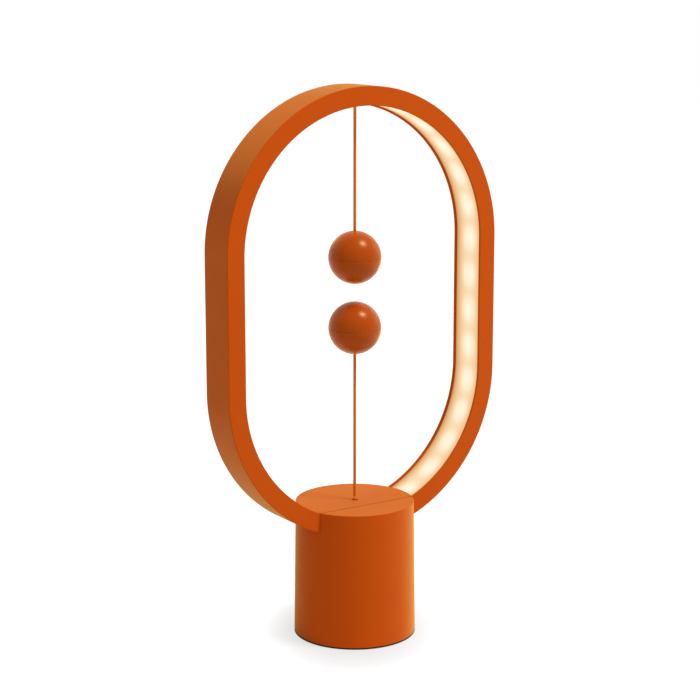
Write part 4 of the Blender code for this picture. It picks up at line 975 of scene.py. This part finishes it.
@dataclass
class HangingBall:
    """A ball of two painted half shells, its seam level, its string at one pole."""

    name: str
    centre_z: float
    pole: Pole
    body: Body
    paint: bpy.types.Material
    sizes: HalfBall = field(default_factory=HalfBall)
    steps: int = 96

    def build(self) -> list[bpy.types.Object]:
        """Turns both halves and stands them at the ball's centre.

        Returns:
            The string's half and the magnet's half.
        """
        made = []
        halves = (
            ("string_half", self.sizes.string_profile(), self.pole.value, True),
            ("magnet_half", self.sizes.magnet_profile(), -self.pole.value, False),
        )
        for part, profile, side, closed in halves:
            placed = profile * np.array([1.0, side]) + np.array([0.0, self.centre_z])
            name = f"{self.name}_{part}_shell"
            piece = place_piece(name, turned(name, placed, self.steps, closed), self.paint)
            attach(piece, self.body.value)
            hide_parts(f"{self.name}_{part}")
            made.append(piece)
        return made


@dataclass
class TautString:
    """A straight length of braided cord, whose yarns stand a little proud of each other."""

    name: str
    low_z: float
    high_z: float
    body: Body
    braid: bpy.types.Material
    stands_for: tuple[str, ...]
    radius: float = 0.00105
    yarn: float = 0.0013
    yarn_pairs: int = 4
    relief: float = 0.00009
    around: int = 20
    rows_to_a_yarn: int = 4
    least_rows: int = 8
    path_points: int = 17

    def build(self) -> bpy.types.Object:
        """Makes the cord: its radius grows by relief where the yarns of two crossed helices meet.

        At height z and angle a the growth is the size of sin(4a + pi z / yarn) times
        sin(4a - pi z / yarn). At both ends the radius shrinks by the square root of e (2 - e),
        where e is the distance from the end in radii, which makes them round.

        Returns:
            The cord's piece.
        """
        length = self.high_z - self.low_z
        along = max(self.least_rows, round(length / (self.yarn / self.rows_to_a_yarn)))
        height = np.linspace(self.low_z, self.high_z, along + 1)[:, None]
        angle = np.linspace(0, math.tau, self.around, endpoint=False)[None]
        phase = math.pi * (height - self.low_z) / self.yarn
        turn = self.yarn_pairs * angle
        crossing = np.abs(np.sin(turn + phase) * np.sin(turn - phase))
        end = np.clip(np.minimum(height - self.low_z, self.high_z - height) / self.radius, 0.0, 1.0)
        radius = (self.radius + self.relief * crossing) * np.sqrt(end * (2 - end))
        x, y = radius * np.cos(angle), radius * np.sin(angle)
        grid = np.stack([x, y, np.broadcast_to(height, x.shape)], -1)
        share = np.linspace(0, 1, self.around + 1)[None]
        uv = np.stack(np.broadcast_arrays(share, height), -1)
        piece = place_piece(self.name, skin(self.name, grid, False, True, uv), self.braid)
        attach(piece, self.body.value)
        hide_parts(*self.stands_for)
        return piece

    def path(self) -> list[tuple[float, float, float]]:
        """Points along the cord's middle, from its top down."""
        return [(0.0, 0.0, float(z)) for z in np.linspace(self.high_z, self.low_z, self.path_points)]


@dataclass
class RoundBase:
    """The tapered base: a shell with the front of its top, and the cover behind the seam."""

    ring: RingSizes
    paint: bpy.types.Material
    top_radius: float = 0.0432
    bottom_radius: float = 0.0446
    wall: float = 0.0024
    edge: float = 0.0005
    foot_reveal: float = 0.0008
    string_hole: float = 0.00235
    hole_chamfer: float = 0.00025
    inlet_width: float = 0.0090
    inlet_height: float = 0.0034
    inlet_margin: float = 0.0005
    inlet_z: float = 0.0148
    inlet_cut: tuple[float, float] = (0.036, 0.050)
    tongue_size: tuple[float, float] = (0.0066, 0.0007)
    tongue_edge: float = 0.0003
    tongue_insets: tuple[float, float] = (0.0021, 0.0012)
    seam_break: float = 0.0006
    seam_rise: float = 0.0001
    key_rise: float = 0.0020
    key_end_angle: float = 0.2
    cut_reach: float = 0.06
    cut_margin: float = 0.01
    steps: int = 216
    slot_steps: int = 720
    hole_steps: int = 64

    @property
    def cover_under(self) -> float:
        """Height of the cover's underside."""
        return self.ring.base_height - self.ring.cover_thickness

    def radius_at(self, z: float) -> float:
        """Outer radius at a height."""
        share = (z - self.foot_reveal) / (self.ring.base_height - self.foot_reveal)
        return self.bottom_radius + (self.top_radius - self.bottom_radius) * share

    def inlet_window(self) -> bpy.types.Mesh:
        """The rounded window in the rear wall: two half circles, joined by flats, along Y.

        Returns:
            The cutter.
        """
        radius = self.inlet_height / 2 + self.inlet_margin
        half = (self.inlet_width - self.inlet_height) / 2
        angle = np.linspace(math.pi / 2, -math.pi / 2, 17)
        right = np.stack([half + radius * np.cos(angle), self.inlet_z + radius * np.sin(angle)], -1)
        left = right[::-1] * np.array([-1.0, 1.0])
        return carried("inlet_window", np.vstack([right, left]), Axis.Y, self.inlet_cut)

    def seam_groove(self, y: float) -> bpy.types.Mesh:
        """The shallow V that breaks the shell's edge at the seam: a triangle carried along X.

        Args:
            y: The seam's place.

        Returns:
            The cutter.
        """
        top, depth = self.ring.base_height, self.seam_break
        rise = top + self.seam_rise
        outline = np.array([(y - depth, rise), (y, top - depth), (y + depth, rise)])
        return carried("seam_groove", outline, Axis.X, (-self.cut_reach, self.cut_reach))

    def ring_slot(self, half_depth: float) -> bpy.types.Mesh:
        """The space that the ring takes up, grown by the gap: the lower arc's disc along Y.

        Args:
            half_depth: How far it goes to the front and to the back.

        Returns:
            The cutter.
        """
        radius = self.ring.radius + self.ring.gap
        angle = np.linspace(0, math.tau, self.slot_steps, endpoint=False)
        outline = np.stack([radius * np.cos(angle), self.ring.lower_z + radius * np.sin(angle)], -1)
        return carried("ring_slot", outline, Axis.Y, (-half_depth, half_depth))

    def shell(self) -> bpy.types.Object:
        """Turns the cup, then cuts the step for the cover, the ring's slot and the inlet's window.

        Returns:
            The shell.
        """
        top, under, gap = self.ring.base_height, self.cover_under, self.ring.gap
        corners = [
            (0.0, top, 0.0),
            (self.top_radius, top, self.edge),
            (self.bottom_radius, self.foot_reveal, self.edge),
            (self.bottom_radius - self.wall, self.foot_reveal, 0.0),
            (self.radius_at(under) - self.wall, under, 0.0),
            (0.0, under, 0.0),
        ]
        mesh = turned("base_shell_fine", rounded(corners, closed=False), self.steps, False)
        piece = place_piece("base_shell_fine", mesh, self.paint)
        reach, high = self.cut_reach, top + self.cut_margin
        seam_y = -self.ring.depth / 2 - gap
        step = block("rear_step", (-reach, seam_y, under - gap), (reach, reach, high))
        cut(piece, [step, self.ring_slot(-seam_y), self.inlet_window(), self.seam_groove(seam_y)])
        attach(piece, Body.LAMP.value)
        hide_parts("base_shell")
        return piece

    def cover(self) -> bpy.types.Object:
        """Turns the disc of the rear top, then cuts it off at the seam and keys it round the ring.

        Returns:
            The cover.
        """
        top, under, gap = self.ring.base_height, self.cover_under, self.ring.gap
        corners = [
            (0.0, top, 0.0),
            (self.top_radius, top, self.edge),
            (self.radius_at(under), under, 0.0),
            (0.0, under, 0.0),
        ]
        mesh = turned("top_cover_fine", rounded(corners, closed=False), self.steps, False)
        piece = place_piece("top_cover_fine", mesh, self.paint)
        reach, low, high = self.cut_reach, under - self.cut_margin, top + self.cut_margin
        front = block("front_cut", (-reach, -reach, low), (reach, -self.ring.depth / 2, high))
        side, ledge = self.ring.depth / 2 + gap, self.ring.channel_half - gap
        half = [
            (-self.key_rise, side, 0.0),
            (self.ring.radial + gap, side, 0.0),
            (self.ring.radial + gap, ledge, 0.0),
            (self.ring.diffuser_face + gap, ledge, 0.0),
        ]
        key = self.ring.sweep("ring_key", rounded(both_sides(half), closed=True), self.key_end_angle)
        hole = np.array(
            [
                (0, high),
                (self.string_hole + self.hole_chamfer + self.cut_margin, high),
                (self.string_hole, top - self.hole_chamfer),
                (self.string_hole, low),
                (0, low),
            ]
        )
        cut(piece, [front, key, turned("string_hole", hole, self.hole_steps, False)])
        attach(piece, Body.LAMP.value)
        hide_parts("top_cover")
        return piece

    def inlet_tongue(self, plastic: bpy.types.Material) -> bpy.types.Object:
        """The contact tongue inside the power inlet: a flat bar with round edges along Y.

        Args:
            plastic: Its finish.

        Returns:
            The tongue.
        """
        half_x, half_z = (size / 2 for size in self.tongue_size)
        corners = [(-half_x, -half_z), (half_x, -half_z), (half_x, half_z), (-half_x, half_z)]
        outline = rounded([(*corner, self.tongue_edge) for corner in corners], closed=True)
        low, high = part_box("power_inlet")
        placed = outline + np.array([0.0, (low.z + high.z) / 2])
        ends = low.y + self.tongue_insets[0], high.y - self.tongue_insets[1]
        mesh = carried("inlet_contact_tongue", placed, Axis.Y, ends)
        piece = place_piece("inlet_contact_tongue", mesh, plastic)
        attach(piece, Body.LAMP.value)
        return piece


@dataclass
class Studio:
    """A pale floor, a white surround, soft lamps and the camera at the photograph's angle."""

    camera_place: tuple[float, float, float] = (-0.7242, -1.0950, 0.4797)
    camera_turn_deg: tuple[float, float, float] = (78.42, 0.0, -33.33)
    lens_mm: float = 95.77
    sensor_mm: float = 36.0
    view_reach: float = 50.0
    floor_half: float = 4.0
    floor_drop: float = 0.0002
    # Glow levels by distance from the axis; the lower levels near the foot are a painted contact shadow.
    floor_glow_and_painted_shadow: tuple[tuple[float, float], ...] = (
        (0.030, 0.60),
        (0.046, 0.64),
        (0.062, 0.70),
        (0.076, 0.76),
        (0.090, 0.86),
        (0.105, 1.0),
    )
    floor_shades: tuple[str, str] = ("#E0E0E0", "#707070")
    floor_stretch: float = 1.5
    foot_radius: float = 0.0446
    fibre_mm: float = 2.0
    fibre_depth_mm: float = 0.01
    ambient: float = 0.43
    lamp_aim: tuple[float, float, float] = (0.0, 0.0, 0.2)

    def seen(self, tree: bpy.types.NodeTree) -> Socket:
        """One for rays from the camera, off a gloss or through glass, otherwise nought.

        Args:
            tree: Node tree that takes the nodes.

        Returns:
            The output that holds it.
        """
        rays = add_node(tree, "ShaderNodeLightPath")
        found = rays.outputs["Is Camera Ray"]
        for kind in ("Is Glossy Ray", "Is Transmission Ray"):
            both = {0: found, 1: rays.outputs[kind]}
            found = add_node(tree, "ShaderNodeMath", both, operation="MAXIMUM").outputs[0]
        return found

    def floor(self) -> None:
        """Lays the floor: white paper whose own glow towards the camera leaves the shadow on it.

        The glow grows with the distance from the lamp's axis, over ellipses drawn out across the
        view, so its lower levels near the foot paint a contact shadow; it is nought under the foot,
        which paints a dark line under the base.
        """
        half, z = self.floor_half, -self.floor_drop
        corners = [(-half, -half, z), (half, -half, z), (half, half, z), (-half, half, z)]
        mesh = bpy.data.meshes.new("floor")
        mesh.from_pydata(corners, [], [(0, 1, 2, 3)])
        white = {"Emission Color": linear("#FFFFFF"), "Roughness": 1.0, "Specular IOR Level": 0.0}
        material, tree, shader = new_material("matt_white_paper", white)
        seen = self.seen(tree)
        place = add_node(tree, "ShaderNodeTexCoord").outputs["Object"]
        # The painted contact shadow spreads on these ellipses.
        ellipse = {
            "Rotation": (0.0, 0.0, math.radians(self.camera_turn_deg[2])),
            "Scale": (1 / self.floor_stretch, 1.0, 1.0),
        }
        drawn = add_node(tree, "ShaderNodeMapping", {"Vector": place}, ellipse, vector_type="TEXTURE")
        away = add_node(
            tree, "ShaderNodeVectorMath", {0: drawn.outputs["Vector"]}, operation="LENGTH"
        ).outputs["Value"]
        # The ramp's lower levels near the foot paint a contact shadow.
        glow = add_node(tree, "ShaderNodeValToRGB", {"Fac": away})
        stops = glow.color_ramp.elements
        stops.remove(stops[1])
        for number, (radius, level) in enumerate(self.floor_glow_and_painted_shadow):
            stop = stops[0] if number == 0 else stops.new(radius)
            stop.position = radius
            stop.color = (level, level, level, 1.0)
        reach = add_node(tree, "ShaderNodeVectorMath", {0: place}, operation="LENGTH").outputs["Value"]
        # Nought under the foot, which paints a dark line under the base.
        beyond_painted_foot_line = add_node(
            tree, "ShaderNodeMath", {0: reach}, {1: self.foot_radius}, operation="GREATER_THAN"
        ).outputs[0]
        strength = seen
        for factor in (beyond_painted_foot_line, glow.outputs["Color"]):
            both = {0: strength, 1: factor}
            strength = add_node(tree, "ShaderNodeMath", both, operation="MULTIPLY").outputs[0]
        tree.links.new(strength, shader.inputs["Emission Strength"])
        fine = {"Scale": 1 / (self.fibre_mm * MM)}
        fibre = add_node(tree, "ShaderNodeTexNoise", {"Vector": place}, fine).outputs["Fac"]
        dress_surface(tree, seen, self.floor_shades, fibre, self.fibre_depth_mm)
        place_piece("floor", mesh, material)

    def surround(self) -> None:
        """Sets the world: white where the camera and reflections see it, a soft level elsewhere."""
        world = bpy.data.worlds.new("white_surround")
        bpy.context.scene.world = world
        world.use_nodes = True
        tree = world.node_tree
        background = tree.nodes["Background"]
        levels = {"To Min": self.ambient, "To Max": 1.0}
        strength = add_node(tree, "ShaderNodeMapRange", {"Value": self.seen(tree)}, levels)
        background.inputs["Color"].default_value = (1.0, 1.0, 1.0, 1.0)
        tree.links.new(strength.outputs["Result"], background.inputs["Strength"])

    def softbox(self, name: str, place: tuple[float, float, float], side: float, watts: float) -> None:
        """Hangs a square soft lamp that faces the middle of the object.

        Args:
            name: The lamp's name.
            place: Where it hangs.
            side: Its side.
            watts: Its power.
        """
        data = bpy.data.lights.new(name, "AREA")
        data.shape = "SQUARE"
        data.size = side
        data.energy = watts
        lamp = bpy.data.objects.new(name, data)
        lamp.location = place
        faces = Vector(self.lamp_aim) - Vector(place)
        lamp.rotation_euler = faces.to_track_quat("-Z", "Y").to_euler()
        bpy.context.scene.collection.objects.link(lamp)

    def camera(self) -> None:
        """Stands the camera where the photograph was taken from."""
        data = bpy.data.cameras.new("camera")
        data.sensor_width = self.sensor_mm
        data.sensor_fit = "HORIZONTAL"
        data.lens = self.lens_mm
        data.clip_end = self.view_reach
        camera = bpy.data.objects.new("camera", data)
        camera.location = self.camera_place
        camera.rotation_euler = tuple(math.radians(a) for a in self.camera_turn_deg)
        bpy.context.scene.collection.objects.link(camera)
        bpy.context.scene.camera = camera

    def build(self) -> None:
        """Sets up the camera, the floor, the surround and the lamps."""
        self.camera()
        self.floor()
        self.surround()
        self.softbox("key_softbox", (0.92, -1.18, 2.80), side=0.75, watts=80.0)
        self.softbox("right_softbox", (1.6, 0.2, 0.7), side=0.8, watts=6.0)
        bpy.context.scene.view_settings.view_transform = "Standard"


@dataclass
class InnerPieces:
    """Finishes of the CAD pieces that keep their own shape, most of them inside the base."""

    nodes: dict[str, bpy.types.Object]

    def dress(self) -> None:
        """Gives each remaining node the finish of its slot."""
        steel = ZINC_STEEL.material()
        plastic = INNER_ABS.material()
        cord = KNOTTED_CORD.material()
        cover = STRIP_COVER.material()
        finishes = {
            "screw": steel,
            "pull_rod": steel,
            "rod_collar": steel,
            "return_spring": steel,
            "switch_lever": steel,
            "power_inlet": steel,
            "magnet": NICKEL_PLATE.material(),
            "guide_bush": TURNED_BRASS.material(),
            "counterweight": CAST_IRON.material(),
            "foot_pad": RidgedRubber().material(),
            "ring_cradle": plastic,
            "bottom_cover": plastic,
            "switch_body": plastic,
            "driver_board": SolderMask().material(),
            "led_strip": cover,
            "switch_button": cover,
            "lead": PVC_SHEATH.material(),
            "knot": cord,
            "string": cord,
        }
        for name, node in self.nodes.items():
            if node.hide_render:
                continue
            found = next((finish for key, finish in finishes.items() if key in name), None)
            if found is None:
                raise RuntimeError(f"no finish is named for {name}")
            node.data.materials.clear()
            node.data.materials.append(found)


def declare_strings(upper: TautString, lower: TautString, tail: TautString) -> list[bpy.types.Object]:
    """Builds the strings.

    Args:
        upper: The string that hangs from the ring.
        lower: The string that stands over the base.
        tail: Its end that goes down to the pull rod.

    Returns:
        The three pieces.
    """
    upper_piece, lower_piece, tail_piece = upper.build(), lower.build(), tail.build()
    return [upper_piece, lower_piece, tail_piece]


def main() -> None:
    """Builds the scene in order and reports each piece."""
    logging.basicConfig(level=logging.INFO, format="%(name)s: %(message)s")
    for old in list(bpy.data.objects):
        bpy.data.objects.remove(old)
    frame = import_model()
    Studio().build()
    braid = BraidedCord().material()
    paint = ORANGE_PAINT.material()
    ball_paint = BALL_PAINT.material()

    upper_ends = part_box("upper_string")[0].z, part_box("upper_string_bend")[1].z
    lower_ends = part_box("lower_string_bend")[0].z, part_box("lower_string")[1].z
    tail_ends = (corner.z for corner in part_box("lower_string_tail"))
    upper_nodes = ("upper_string", "upper_string_bend")
    lower_nodes = ("lower_string", "lower_string_bend")
    upper = TautString("upper_braided_cord", *upper_ends, Body.UPPER_CORD, braid, upper_nodes)
    lower = TautString("lower_braided_cord", *lower_ends, Body.LOWER_CORD, braid, lower_nodes)
    tail = TautString("lower_cord_tail", *tail_ends, Body.PULL, braid, ("lower_string_tail",))
    made = declare_strings(upper, lower, tail)

    ring = RingSizes()
    lit = LitRing(ring, paint, LitDiffuser().material())
    made += [lit.channel(), lit.strip()]
    base = RoundBase(ring, paint)
    made += [base.shell(), base.cover(), base.inlet_tongue(TONGUE_PLASTIC.material())]
    balls = (("upper_ball", Pole.UP, Body.UPPER_BALL), ("lower_ball", Pole.DOWN, Body.LOWER_BALL))
    for name, pole, body in balls:
        low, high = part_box(f"{name}_magnet_half")
        seam_z = high.z if pole is Pole.UP else low.z
        centre_z = seam_z + pole.value * HalfBall.cad_joint / 2
        made += HangingBall(name, centre_z, pole, body, ball_paint).build()
    InnerPieces(frame["nodes"]).dress()
    for piece in made:
        LOG.info("%s: %d faces", piece.name, len(piece.data.polygons))


if __name__ == "__main__":
    main()
